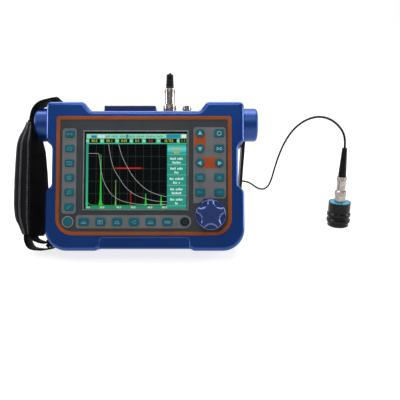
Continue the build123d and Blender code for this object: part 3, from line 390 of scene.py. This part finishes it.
# Thin flat inks in four strengths
bright_ink = grain(new_material("key_print", "a8d2dc", 0.5), 0.3, 0.002, "b0dae4", "a0cad4", 6)
row_ink = grain(new_material("row_key_print", "88b2bc", 0.5), 0.3, 0.002, "90bac4", "80aab4", 6)
dim_ink = grain(new_material("dim_key_print", "33404d", 0.5), 0.3, 0.002, "394755", "2d3945", 6)
faint_ink = grain(new_material("faint_key_print", "5fa3b0", 0.5), 0.3, 0.002, "66a9b6", "579ba8", 6)
dress(key_silicone, *[n for n in nodes if n.startswith("key_") and n not in ("key_surrounds", "key_power")])
dress(dark_silicone, "key_power")


def stroke(path, width):
    """Quadrilaterals that follow a path of points with mitred corners."""
    sides = []
    for i, (x, y) in enumerate(path):
        before = path[max(i - 1, 0)]
        after = path[min(i + 1, len(path) - 1)]
        if path[0] == path[-1] and i in (0, len(path) - 1):
            before, after = path[-2], path[1]
        length = hypot(after[0] - before[0], after[1] - before[1]) or 1
        nx = -(after[1] - before[1]) / length * width / 2
        ny = (after[0] - before[0]) / length * width / 2
        sides.append(((x + nx, y + ny), (x - nx, y - ny)))
    return [[a[0], a[1], b[1], b[0]] for a, b in zip(sides, sides[1:])]


def circle(x, y, radius, steps=20):
    """A closed path round a circle."""
    return bite(x, y, radius, 0, 360, steps)


def box_path(x0, y0, x1, y1):
    """A closed path round a rectangle."""
    return [(x0, y0), (x1, y0), (x1, y1), (x0, y1), (x0, y0)]


def joined(parts):
    """Several (points, faces) as one."""
    points = []
    faces = []
    for more, sides in parts:
        faces += [tuple(i + len(points) for i in side) for side in sides]
        points += more
    return points, faces


# Lines of each sign, in mm from the middle of its key
signs = {
    "key_left_1": [
        [(-3, 0), (3, 0)], [(-1.8, 1.2), (-3, 0), (-1.8, -1.2)], [(1.8, 1.2), (3, 0), (1.8, -1.2)],
    ],
    "key_left_2": [[(-2.6, 0.2), (0, 2.2), (2.6, 0.2)], [(-1.8, 0.6), (-1.8, -1.8), (1.8, -1.8), (1.8, 0.6)]],
    "key_left_3": [box_path(-2.8, -1.9, 2.8, 1.9), [(-2.8, 1.9), (0, -0.2), (2.8, 1.9)]],
    "key_left_4": [circle(0, 0, 2.3), [(-2.3, 0), (2.3, 0)], [(0, -2.3), (0, 2.3)]],
    "key_left_5": [circle(0.5, 0.5, 1.9), [(-0.9, -0.8), (-2.4, -2.2)]],
    "key_left_6": [[(-2.2, -1.8), (2.0, 1.9)], [(-2.2, -1.8), (-0.8, -1.6)]],
    "key_row_1": [[(-3, -1.6), (-1, 0.2), (2.6, 0.2), (3, -1.6), (-3, -1.6)], [(0, 0.2), (0, -1.6)]],
    "key_row_2": [box_path(-2.6, -2, 2.6, 2), [(-2.6, 0.5), (2.6, 0.5)], [(-0.7, -2), (-0.7, 2)]],
    "key_row_3": [
        [(-2.8, -1.8), (2.8, -1.8)], [(-2, -1.8), (-2, 0.4), (2, 0.4), (2, -1.8)], [(0, 0.4), (0, 2)],
    ],
    "key_row_4": [[(2.4, 1.8), (-2.4, 0), (2.4, -1.8)]],
    "key_row_5": [[(-3, -1.8), (-1.3, 1.6), (0.4, -1.8)], [(0, -1.8), (1.4, 1.9), (3, -1.8), (-3, -1.8)]],
    "key_row_6": [circle(-2.1, 0, 1.0, 12), circle(2.1, 0, 1.0, 12), circle(0, 0, 1.0, 12)],
    "key_ring": [circle(0, 0, 2.2)],
    "key_cross": [
        [(-2.6, -1.8), (2.6, 1.8)], [(-2.6, 1.8), (2.6, -1.8)],
        [(-2.6, -1.8), (-2.6, 1.8)], [(2.6, -1.8), (2.6, 1.8)],
    ],
    "key_gain": [box_path(-2.8, -1.6, 2.8, 1.6), [(-1, -1.6), (-1, 1.6)], [(1, -1.6), (1, 1.6)]],
    "key_select": [box_path(-1.8, -1.3, 1.8, 1.3), [(-1.8, 0), (1.8, 0)]],
    "key_back": [[(2.6, 0.6), (-2.6, 0.6)], [(-1.4, 1.6), (-2.6, 0.6), (-1.4, -0.4)]],
    "key_record": [[(-2.4, 0.6), (2.4, 0.6)]],
    "key_power": [bite(0, 0, 2.0, 120, 300), [(0, 0.4), (0, 2.4)]],
}
arrows = {"key_up": 90, "key_down": -90, "key_left": 180, "key_right": 0}
arrow_reach = 3.0
line_width = 0.75
sign_low, sign_high = 1.38, 1.43  # over the face, just through the top of a key
for name in sorted([*signs, *arrows]):
    low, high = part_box(name)
    center = FACE.inverted() @ ((Vector(low) + Vector(high)) / 2)
    if name in arrows:
        shapes = [bite(0, 0, arrow_reach, arrows[name], 360, 3)[:3]]
    else:
        shapes = [quad for path in signs[name] for quad in stroke(path, line_width)]
    points, faces = joined([slab(shape, sign_low, sign_high) for shape in shapes])
    place = FACE @ Matrix.Translation((center.x, center.y, 0))
    if name in arrows or name in ("key_ring", "key_cross"):
        ink = bright_ink
    elif name.startswith("key_row"):
        ink = row_ink
    else:
        ink = dim_ink if name == "key_power" else faint_ink
    piece(name + "_sign", points, faces, ink, name, place)

# Ring round the key at the bottom left: pale ink printed on the light film, a little wider than the
# key.
# Warm off-white ink, matt
ring_ink = new_material("ring_ink", "b9b4a6", 0.5)
grain(ring_ink, 0.3, 0.003, "c0bbad", "aeaa9c", blotch_mm=6)
count = 48
ring_section = [(5.75, 0.29), (5.75, 0.36), (6.4, 0.36), (6.4, 0.29)]  # radius, and height over the face
loops = []
for radius, height in ring_section:
    loops.append([(x, y, height) for x, y in bite(-85.8, -51.3, radius, 0, 360, count)[:-1]])
points, faces = rings(loops, closed_ends=False)
faces += [(3 * count + j, 3 * count + (j + 1) % count, (j + 1) % count, j) for j in range(count)]
piece("ring_round_enter_key", points, faces, ring_ink, "instrument")

# Display: a lit colour panel under a clear window in a brushed frame. Its picture is plain bars,
# numbers and curves, each a thin layer above the one below it.
# Half-metallic frame: grey with a dull gleam that varies along it
brushed_frame = new_material("brushed_frame", "8f9293", 0.4, metallic=0.6)
grain(brushed_frame, 0.5, 0.008, "97999b", "86898a", blotch_mm=9, gloss=0.06)
dress(brushed_frame, "display_bezel")
# Nearly clear glass, seen only by its faint reflections
window_glass = new_material("window_glass", "101414", 0.08, alpha=0.03)
grain(window_glass, 20, 0.002)
dress(window_glass, "display_window")
# Black back of the panel, which shows only as a dark rim round the picture
display_back = new_material("display_back", "0c0e0e", 0.4)
grain(display_back, 0.8, 0.005, "101212", "0a0b0b", blotch_mm=10)
dress(display_back, "lcd_module")
lights = {}


def lit(code):
    """A material of the display that gives off that colour."""
    if code not in lights:
        made = new_material("display_" + code, "020202", 0.5, specular=0.0, emission_strength=0.85)
        made.node_tree.nodes["Principled BSDF"].inputs["Emission Color"].default_value = colour(code)
        lights[code] = made
    return lights[code]


picture = []  # colour, layer and outline of each shape


def bar(code, layer, x0, y0, x1, y1):
    """A rectangle of the picture."""
    picture.append((code, layer, [(x0, y0), (x1, y0), (x1, y1), (x0, y1)]))


def curve(points, steps=8):
    """A smooth line through points of any dimension."""
    smooth = []
    ends = [points[0], *points, points[-1]]
    for a, b, c, d in zip(ends, ends[1:], ends[2:], ends[3:]):
        for i in range(steps):
            t = i / steps
            smooth.append(tuple(
                0.5 * (
                    2 * q + (r - p) * t + (2 * p - 5 * q + 4 * r - s) * t * t + (3 * q - p - 3 * r + s) * t**3
                )
                for p, q, r, s in zip(a, b, c, d)
            ))
    return smooth + [tuple(points[-1])]


# Seven bars that make a digit: left, low, right and high of each, for a digit 2 wide and 4 high
digit_bars = [
    (0, 3.4, 2, 4), (1.4, 2, 2, 4), (1.4, 0, 2, 2), (0, 0, 2, 0.6),
    (0, 0, 0.6, 2), (0, 2, 0.6, 4), (0, 1.7, 2, 2.3),
]
# Which of them each digit from 0 to 9 has
digits = ["012345", "12", "01346", "01236", "1256", "02356", "023456", "012", "0123456", "012356"]
point_step, digit_step = 1.2, 2.9


def number(text, code, layer, x, y, height):
    """A number of the picture, in seven-bar digits."""
    size = height / 4
    for sign in text:
        if sign == ".":
            bar(code, layer, x, y, x + 0.6 * size, y + 0.6 * size)
            x += point_step * size
            continue
        for i in digits[int(sign)]:
            x0, y0, x1, y1 = digit_bars[int(i)]
            bar(code, layer, x + x0 * size, y + y0 * size, x + x1 * size, y + y1 * size)
        x += digit_step * size


def words(lengths, code, layer, x, y, height):
    """A line of plain blocks that stands for words of those lengths, about its middle x."""
    step = height * 0.62
    x -= (sum(lengths) + len(lengths) - 1) * step / 2
    for count, length in enumerate(lengths):
        for i in range(length):
            tall = height * (1 if (i + count) % 3 == 0 else 0.72)
            bar(code, layer, x, y, x + step * 0.74, y + tall)
            x += step
        x += step


right_end = 47.0
bar("39a98c", 0, -65.0, -36.9, right_end, 48.4)
# Status line at the top
bar("9fe0c6", 1, -64.5, 43.2, right_end, 48.0)
bar("1c8fb4", 2, -59.6, 43.6, -53.2, 46.6)
bar("d9f4ec", 2, -52.0, 43.8, -47.6, 47.2)
bar("ffffff", 3, -46.4, 44.0, -44.4, 47.0)
words([4, 5, 4], "4fb7a6", 2, -33.0, 44.2, 2.6)
bar("1c8fb4", 2, -20.6, 43.6, -18.2, 47.4)
words([5, 6, 7, 5], "58b8a0", 2, 1.5, 44.2, 2.4)
bar("2298b2", 2, 24.4, 43.4, 40.4, 47.8)
bar("f4fffa", 3, 41.6, 43.9, 46.4, 47.3)
# Line of dark cells with a number in each: left and right end, number and its colour
bar("58c79b", 1, -64.5, 37.0, right_end, 43.2)
cells = [
    (-61.6, -49.6, "90.0", "e5d34a"), (-45.0, -32.8, "60.1", "e5d34a"), (-28.3, -16.6, "8.20", "e5d34a"),
    (-12.6, -3.0, "0.2", "e5d34a"), (1.6, 12.8, "0.0", "e0383c"), (18.0, 36.4, "10.755", "e5d34a"),
    (39.4, 46.6, "1.1", "c9c94a"),
]
for left, right, text, code in cells:
    bar("14201a", 2, left, 37.9, right, 42.9)
    wide = sum(point_step if sign == "." else digit_step for sign in text) * 0.68
    number(text, code, 3, (left + right - wide) / 2, 39.1, 2.7)
    words([2], "c8f2e0", 2, left - 1.9, 39.2, 2.4)
# Graph: a grid of ten by five, falling curves, green echoes on its foot and a red gate
graph_left, graph_right, graph_low, graph_high = -62.4, 25.3, -33.6, 36.6
half_line = 0.2
bar("0d1111", 1, graph_left, graph_low, graph_right, graph_high)
for i in range(1, 10):
    x = graph_left + 8.77 * i
    bar("343d3a", 2, x - half_line, -33.4, x + half_line, graph_high)
for i in range(1, 5):
    y = graph_low + 14.04 * i
    bar("343d3a", 2, graph_left, y - half_line, graph_right, y + half_line)
decays = [
    [(-62.2, 25.9), (-51.6, 25.9)],
    curve([
        (-51.6, 25.9), (-50.2, 23.0), (-48.6, 10), (-45.6, -4.1), (-40, -15.3),
        (-33.5, -22.8), (-24.2, -27.9), (-10.3, -31.1), (1.7, -31.8), (25.2, -32.2),
    ]),
    curve([
        (-40, 36.4), (-37.2, 20.1), (-33.5, 8), (-27, -3.2), (-20.5, -12.5),
        (-12.2, -19.5), (-1.1, -24.6), (12.8, -27.9), (25.2, -28.8),
    ]),
    curve([
        (-28.9, 36.4), (-25.2, 23.8), (-19.6, 11.7), (-12.2, -0.4),
        (-3.9, -9.7), (6.3, -17.2), (17.4, -21.4), (25.2, -23.2),
    ]),
]
for path in decays:
    picture += [("b9beba", 4, quad) for quad in stroke(path, 0.44)]
# Middle, top and half the foot of each echo, and its colour
echoes = [
    (-63.4, -4.1, 1.3, "35c98a"), (-48.3, 24.7, 2.3, "37cf3e"), (-31.6, -4.1, 0.9, "86c06a"),
    (1.7, -19.5, 1.3, "37cf3e"), (18.8, -21.0, 1.3, "37cf3e"),
]
foot, waist, half_tip = -33.2, -26, 0.25
for x, top, half, code in echoes:
    outline = [(x - half, foot), (x + half, foot), (x + half * 0.45, waist)]
    outline += [(x + half_tip, top), (x - half_tip, top), (x - half * 0.45, waist)]
    picture.append((code, 3, outline))
trace = curve([
    (-62.4, -29.8), (-60, -31.8), (-56, -32.7), (-50, -32.6), (-46, -31.4), (-44.5, -32.8), (-34, -32.8),
    (0, -32.8), (4, -31.6), (7, -32.8), (16, -32.6), (21, -31.5), (25.2, -32.7),
])
picture += [("37cf3e", 3, quad) for quad in stroke(trace, 0.5)]
for i in range(9):
    bar("b3262c", 3, -15.6, -32.6 + 1.9 * i, -14.3, -31.4 + 1.9 * i)
bar("3a1416", 2, -32.0, 7.6, -1.0, 9.6)
bar("e02c34", 3, -32.2, 8.6, -3.2, 9.8)
bar("8c2026", 3, -3.0, 8.9, 0.2, 9.5)
# Menu at the right: a shaded head and six fields of two lines each
bar("2fa08c", 1, graph_right, -36.9, right_end, 37.0)
for i, code in enumerate(("3fb9a4", "56d8cc", "62e2da", "4fcfc4", "37b3a2")):
    bar(code, 2, 25.7, 33.6 - 1.9 * i, 46.7, 35.5 - 1.9 * i)
for y in (24.8, 13.1, 1.5, -10.2, -21.8, -33.4):
    bar("8fdcc8", 3, graph_right, y - 0.25, right_end, y + 0.25)
    bar("1f7c6e", 3, graph_right, y - 0.6, right_end, y - 0.25)
menu = [
    ((6,), (4,), 30.2, "e0b24a"), ((4, 4), (6,), 18.8, "ecfaf4"), ((4, 4), (3,), 7.6, "ecfaf4"),
    ((3, 6), (3, 1), -4.0, "ecfaf4"), ((3, 5), (7,), -15.8, "ecfaf4"), ((3, 5), (2,), -27.4, "ecfaf4"),
]
for first, second, y, code in menu:
    words(first, code, 4, 36.0, y, 2.5)
    words(second, code, 4, 36.0, y - 4.4, 2.5)
# Scale under the graph
bar("2b9a7a", 1, -64.5, -36.9, graph_right, graph_low)
scale = [(-63.6, "0.0"), (-49.0, "20.0"), (-30.6, "40.0"), (-14.4, "60.0"), (4.2, "80.0"), (19.0, "100.0")]
for x, text in scale:
    number(text, "f0fff8", 2, x, -36.1, 2.1)
points = []
faces = []
kinds = []
stretch = 1.0145  # of the picture's width, from its right end
picture_height = -2.15  # of its lowest layer, from the face
layer_step = 0.08
for code, layer, outline in picture:
    height = picture_height + layer_step * layer
    faces.append(tuple(range(len(points), len(points) + len(outline))))
    points += [(right_end + (x - right_end) * stretch, y, height) for x, y in outline]
    kinds.append(lit(code))
piece("display_picture", points, faces, kinds, "instrument")

# Encoder knob: moulded in the case's blue with a finer gloss and pushed on the encoder's shaft. It has
# five scallops for the fingertips, with broad rounded edges, and a skirt with a rounded edge.
# Strong clear coat: a bright line runs along every rounded edge
knob_plastic = new_material(
    "knob_plastic", "083e90", 0.28, metallic=0.5, specular_tint=sky,
    coat_weight=1.0, coat_roughness=0.14, coat_ior=1.8,
)
grain(knob_plastic, 0.5, 0.006, "0a4296", "063888", blotch_mm=14, gloss=0.04)
dress(knob_plastic, "encoder_knob")


def tube(path, radius, sides=8):
    """Points and faces of a round cord along points close together."""
    loops = []
    for i, place in enumerate(path):
        along = Vector(path[min(i + 1, len(path) - 1)]) - Vector(path[max(i - 1, 0)])
        reference = Vector((0, 0, 1)) if abs(along.z) < 0.8 * along.length else Vector((1, 0, 0))
        side = along.cross(reference).normalized()
        over = along.cross(side).normalized()
        loops.append([
            tuple(Vector(place) + (side * cos(tau * j / sides) + over * sin(tau * j / sides)) * radius)
            for j in range(sides)
        ])
    return rings(loops)


knob_center = FACE @ Matrix.Translation((0.0741, -0.0435, 0))
seat_reach = 18.5  # from the knob's axis to the axis of a scallop
knob_radius = 16
edge_radius, edge_height = 9.7, 9.4  # round the scallop's axis, and over the face
edge_width, edge_drop = 2.7, 2.8  # of the quarter round
wall_radius, wall_low = 6.8, 4.2
profile = []
for fall in range(0, 100, 10):
    across = edge_radius - edge_width * sin(radians(fall))
    profile.append((across, edge_height + edge_drop * cos(radians(fall))))
profile += [(wall_radius, wall_low), (edge_radius, wall_low)]
for k in range(5):
    turn = -90 + 72 * k
    seat = (seat_reach * cos(radians(turn)), seat_reach * sin(radians(turn)))
    bands = []
    for radius, height in profile:
        half = degrees(acos((seat_reach**2 + radius**2 - knob_radius**2) / (2 * seat_reach * radius)))
        bands.append([(x, y, height) for x, y in bite(*seat, radius, turn + 180 - half, 2 * half, 24)])
    points, faces = rings(list(zip(*bands)))
    name = f"knob_scallop_edge_{k + 1}"
    piece(name, points, faces, knob_plastic, "encoder_knob", knob_center, smooth=True)
skirt_radius, skirt_height, skirt_round = 16.1, 3.6, 0.9
skirt_path = bite(0, 0, skirt_radius, 0, 360, 72)
points, faces = tube([(x, y, skirt_height) for x, y in skirt_path + skirt_path[1:2]], skirt_round, 12)
piece("knob_skirt_edge", points, faces, knob_plastic, "encoder_knob", knob_center, smooth=True)

# Port cover: a dark blue moulded lid that turns on a hinge along its back edge and closes over a
# black moulded block of sockets. The battery pack behind its door has the same black plastic.
# Satin navy with a thin coat, duller and darker than the case
cover_plastic = new_material("cover_plastic", "0a2460", 0.4, coat_weight=0.3, coat_roughness=0.12)
grain(cover_plastic, 0.45, 0.012, "0c2866", "082058", blotch_mm=25, gloss=0.05)
dress(cover_plastic, "port_cover", "port_hinge")
# Plain black plastic with a fine texture
black_plastic = new_material("black_plastic", "17181a", 0.5)
grain(black_plastic, 0.5, 0.015, "1c1d1f", "121315", blotch_mm=15, gloss=0.05)
dress(black_plastic, "port_block", "battery_pack")

# Stand and strap anchors: a flat steel bar bent to a bail that turns on two bolts, and two cast
# bridges let into the left corners of the case. All have the same black powder coat.
# Slightly pebbled and nearly matt, so that its edges show as soft grey lines
powder_coat = new_material("powder_coat", "0d0d0e", 0.45, specular=0.12)
grain(powder_coat, 0.35, 0.03, "111113", "0a0a0b", blotch_mm=18, gloss=0.06)
dress(powder_coat, "stand_bail", "strap_anchors")

# Boards: glass fibre boards, one behind the keys and one on four posts of the rear shell. They only
# show when the case is taken apart.
# Green lacquer with a soft gloss
solder_mask = new_material("solder_mask", "0e4a2a", 0.35)
grain(solder_mask, 0.6, 0.01, "125531", "0b3f24", blotch_mm=6, gloss=0.05)
dress(solder_mask, "main_board", "keypad_board")


# Hand strap: a padded sleeve of black woven cloth, 60 mm wide and up to 16 mm thick. Tape is bound
# round both its long edges with piping along them, and rows of stitches run beside the tape.
def weave(name, dark_code, light_code, pitch_mm, depth_mm, roughness):
    """Plain woven cloth, by a piece's own cloth coordinates."""
    material = new_material(
        name, dark_code, roughness, specular=0.06, sheen_weight=0.015, sheen_roughness=0.5
    )
    tree = material.node_tree
    shader = tree.nodes["Principled BSDF"]
    where = add_node(tree, "ShaderNodeUVMap", {"uv_map": "cloth"}).outputs["UV"]
    scale = pi * 1000 / pitch_mm / tau / 5
    waves = []
    for direction in ("X", "Y"):
        wave = add_node(
            tree, "ShaderNodeTexWave", {"bands_direction": direction},
            vector=where, scale=scale, distortion=0.4, detail=1.0,
        )
        waves.append(wave.outputs["Fac"])
    checks = add_node(tree, "ShaderNodeTexChecker", vector=where, scale=1000 / pitch_mm)
    over = add_node(tree, "ShaderNodeMixRGB", fac=checks.outputs["Fac"], color1=waves[0], color2=waves[1])
    ramp = add_node(tree, "ShaderNodeValToRGB", fac=over.outputs["Color"])
    ramp.color_ramp.elements[0].color = colour(dark_code)
    ramp.color_ramp.elements[1].color = colour(light_code)
    tree.links.new(ramp.outputs["Color"], shader.inputs["Base Color"])
    depth = depth_mm / 1000
    bump = add_node(tree, "ShaderNodeBump", height=over.outputs["Color"], distance=depth, strength=1.0)
    tree.links.new(bump.outputs["Normal"], shader.inputs["Normal"])
    return material


# Deep black cloth that takes almost no light, under a slightly greyer tape and a mid grey thread
strap_cloth = weave("strap_cloth", "040405", "0e0e10", 0.9, 0.12, 0.85)
binding_tape = weave("binding_tape", "101012", "222225", 0.7, 0.1, 0.75)
thread = grain(new_material("thread", "48484c", 0.6), 0.3, 0.05, "525256", "3a3a3e", 5)
strap_depth = 26  # of its middle plane behind the face
pad_low, pad_high = -68, 66  # ends of the sleeve, from the middle of the face
half_pad = 29.6  # half its width
upper_taper, upper_loss = 32, 14.0  # length of the taper at its top, and what half the width loses there
lower_taper, lower_loss = 24, 6.5
calm_end = 9  # length over which its wrinkles fade out at either end
across_power, through_power = 0.36, 0.55  # of its rounded section, which is squarer where they are lower
# Height, and place across, of the pad's outer and inner face
outer_edge = [
    (-68, -136.6), (-62, -138.4), (-55, -140.8), (-48, -144.0), (-38, -146.0), (-20, -146.6), (5, -146.0),
    (25, -145.0), (42, -143.2), (54, -139.8), (66, -136.6),
]
inner_edge = [(-68, -132.6), (-50, -131.2), (-5, -130.9), (40, -131.0), (54, -132.4), (66, -134.4)]
# Height, and how far each face lies further in at the pad's back edge
outer_turn = [(-68, 4), (-32, 3), (5, 2), (46, 1), (66, 0)]
inner_turn = [(-68, 8), (-50, 9.3), (-5, 7.5), (30, 3.5), (46, 1), (66, 0)]


def level(path, height):
    """Where a path of (height, value) pairs is at a height."""
    fine = curve(path, 6)
    for (a, p), (b, q) in zip(fine, fine[1:]):
        if height <= b:
            return p + (q - p) * (height - a) / (b - a)
    return fine[-1][1]


def pad_point(height, turn, lift=0.0):
    """A point of the pad's skin: turn 0 is its back edge, 90 its inner face and 180 its front edge."""
    end = min(1.0, (height - pad_low) / calm_end, (pad_high - height) / calm_end)
    rise = min(1.0, max(0.0, (height - (pad_high - upper_taper)) / upper_taper))
    fall = min(1.0, max(0.0, (pad_low + lower_taper - height) / lower_taper))
    half_width = half_pad - upper_loss * rise * rise * (3 - 2 * rise) - lower_loss * fall * fall
    c = cos(radians(turn))
    s = sin(radians(turn))
    across = half_width * (1 if c > 0 else -1) * abs(c) ** across_power
    back_share = (across + 30) / 60
    left = level(outer_edge, height) + level(outer_turn, height) * back_share
    right = level(inner_edge, height) + level(inner_turn, height) * back_share
    through = (right - left) / 2 * (1 if s > 0 else -1) * abs(s) ** through_power
    wrinkle = noise.noise(Vector((height / 9, across / 14, through / 6))) * 0.35 * max(0.0, end)
    size = hypot(c, s)
    across += lift * c / size
    through += (lift + wrinkle) * s / size
    return ((left + right) / 2 + through, height, -strap_depth - across)


rows = 96
heights = [pad_low + (pad_high - pad_low) * i / rows for i in range(rows + 1)]
steps = 56
girth = 150
loops = [[pad_point(h, 360 * j / steps) for j in range(steps)] for h in heights]
points, faces = rings(loops)
around = [(girth * j / steps, h) for h in heights for j in range(steps)]
pad = piece("strap_sleeve", points, faces, strap_cloth, "instrument", smooth=True, uv=around)
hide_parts("strap_pad")

inside = heights[2:-2]
for edge, middle_turn in (("front", 180), ("back", 0)):
    turns = [middle_turn + d for d in range(-40, 41, 8)]
    loops = []
    for h in inside:
        loops.append([pad_point(h, t, 0.7) for t in turns] + [pad_point(h, t, -0.4) for t in reversed(turns)])
    points, faces = rings(loops)
    uv = [(j * 1.6, h) for h in inside for j in range(2 * len(turns))]
    name = f"strap_binding_{edge}"
    piece(name, points, faces, binding_tape, "instrument", smooth=True, uv=uv)
    cords = [tube([pad_point(h, middle_turn + side, 0.4) for h in inside], 1.15) for side in (42, 0, -42)]
    points, faces = joined(cords)
    piece(f"strap_piping_{edge}", points, faces, thread, "instrument", smooth=True)
stitches = []
stitch_step = 3.3
stitch_turn = 62  # from the middle of either edge
for turn in (180 - stitch_turn, 180 + stitch_turn, stitch_turn, -stitch_turn):
    height = -63.0
    while height < 58:
        stitches.append(tube([pad_point(height + d, turn, 0.1) for d in (0, 0.7, 1.4, 2.1)], 0.3, 6))
        height += stitch_step
points, faces = joined(stitches)
piece("strap_stitches", points, faces, thread, "instrument", smooth=True)


# Webbing of the strap: flat woven polyester, 25 mm wide, with rounded selvedges. It is sewn into both
# ends of the sleeve and folded round the bars of the anchors.
def ribbon(path, width, thickness):
    """Points, faces and cloth coordinates of a flat band, as deep behind the face as the strap."""
    loops = []
    cloth_map = []
    run = 0.0
    section = []
    for across, through in ((-1, 0.35), (-0.97, 0.8), (-0.9, 1), (0, 1), (0.9, 1), (0.97, 0.8), (1, 0.35)):
        section.append((across * width / 2, through * thickness / 2))
    section += [(a, -b) for a, b in reversed(section)]
    for i, (x, y) in enumerate(path):
        before = path[max(i - 1, 0)]
        after = path[min(i + 1, len(path) - 1)]
        length = hypot(after[0] - before[0], after[1] - before[1])
        nx = -(after[1] - before[1]) / length
        ny = (after[0] - before[0]) / length
        if i:
            run += hypot(x - path[i - 1][0], y - path[i - 1][1])
        loops.append([(x + nx * b, y + ny * b, -strap_depth - a) for a, b in section])
        cloth_map += [(a, run) for a, b in section]
    points, faces = rings(loops)
    return points, faces, cloth_map


def round_bar(x, y, turns):
    """Points of webbing folded round an anchor's bar, turns in degrees."""
    return [(x + fold_radius * cos(radians(a)), y + fold_radius * sin(radians(a))) for a in turns]


fold_radius = 3.25
# Coarse weave whose lighter threads show against the smoother cloth of the sleeve
webbing = weave("strap_webbing", "0c0c0d", "29292c", 1.3, 0.25, 0.7)
webbing_width, webbing_thickness = 25, 1.9
fold = round_bar(-105.0, 90.0, range(-250, 91, 17))
path = [(-112.5, 89.6)] + fold
path += curve([
    (-105, 93.25), (-114, 91.6), (-125.5, 87.8), (-132.6, 79.4), (-135.4, 66), (-136.0, 56),
], 6)[1:]
points, faces, uv = ribbon(path, webbing_width, webbing_thickness)
top = piece("strap_webbing_upper", points, faces, webbing, "instrument", smooth=True, uv=uv)
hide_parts("strap_webbing_top")
fold = round_bar(-110.1, -77.96, range(-75, 111, 15))
path = curve([
    (-139.0, -62), (-138.6, -73), (-133.5, -81.4), (-122.5, -83.4), (-114.0, -82.6), (-110.1, -81.2),
], 6)[:-1]
path += fold + curve([fold[-1], (-119, -75.5), (-128.4, -72.4), (-132.4, -67.0), (-133.3, -60)], 6)[1:]
points, faces, uv = ribbon(path, webbing_width, webbing_thickness)
name = "strap_webbing_lower"
under = piece(name, points, faces, webbing, "instrument", smooth=True, uv=uv)
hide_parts("strap_webbing_low")

# Paper sweep: white card under and behind the object. It glows to the camera and in reflections, so
# that it looks white, and sheds only the lamps' own light on the object.
sweep = [(-2.0, 0.0), (0.9, 0.0), (1.1, 0.03), (1.28, 0.12), (1.37, 0.3), (1.4, 0.5), (1.4, 2.2)]
paper_points = [(x, y, z - 0.0002) for y, z in sweep for x in (-3.0, 3.0)]
paper_faces = [(2 * i, 2 * i + 1, 2 * i + 3, 2 * i + 2) for i in range(len(sweep) - 1)]
paper_mesh = bpy.data.meshes.new("paper")
paper_mesh.from_pydata(paper_points, [], paper_faces)
paper_mesh.shade_smooth()
paper = bpy.data.objects.new("paper", paper_mesh)
bpy.context.scene.collection.objects.link(paper)
paper_white = new_material("paper_white", "a6a6a6", 0.9)
paper_glow = 0.8
tree = paper_white.node_tree
rays = add_node(tree, "ShaderNodeLightPath").outputs
larger = {"operation": "MAXIMUM"}
seen = add_node(tree, "ShaderNodeMath", larger, in0=rays["Is Camera Ray"], in1=rays["Is Glossy Ray"])
seen = add_node(tree, "ShaderNodeMath", larger, in0=seen.outputs[0], in1=rays["Is Transmission Ray"])
glow = add_node(tree, "ShaderNodeMath", {"operation": "MULTIPLY"}, in0=seen.outputs[0], in1=paper_glow)
shader = tree.nodes["Principled BSDF"]
shader.inputs["Emission Color"].default_value = (1, 1, 1, 1)
tree.links.new(glow.outputs[0], shader.inputs["Emission Strength"])
paper_mesh.materials.append(paper_white)

# Lamps of a product studio: a broad one above, a tall one at each side and one in front, in a dim
# grey room.
world = bpy.data.worlds.new("studio")
bpy.context.scene.world = world
world.use_nodes = True
world.node_tree.nodes["Background"].inputs["Color"].default_value = (0.24, 0.24, 0.24, 1)
# Name, place and target in metres, then width, height and power
lamps = [
    ("top", (0.0, 0.3, 1.1), (0, 0, 0.12), 1.4, 0.5, 13.0),
    ("left", (-0.9, 0.02, 0.25), (-0.05, 0, 0.12), 0.3, 0.6, 5.0),
    ("right", (0.95, 0.02, 0.25), (0.05, 0, 0.12), 0.3, 0.6, 5.0),
    ("front", (-0.1, -0.9, 1.4), (0, 0, 0.1), 0.8, 0.6, 5.8),
]
for name, place, target, width, height, power in lamps:
    lamp = bpy.data.lights.new("lamp_" + name, "AREA")
    lamp.shape = "RECTANGLE"
    lamp.size = width
    lamp.size_y = height
    lamp.energy = power
    holder = bpy.data.objects.new("lamp_" + name, lamp)
    bpy.context.scene.collection.objects.link(holder)
    holder.location = place
    holder.rotation_euler = (Vector(target) - Vector(place)).to_track_quat("-Z", "Y").to_euler()
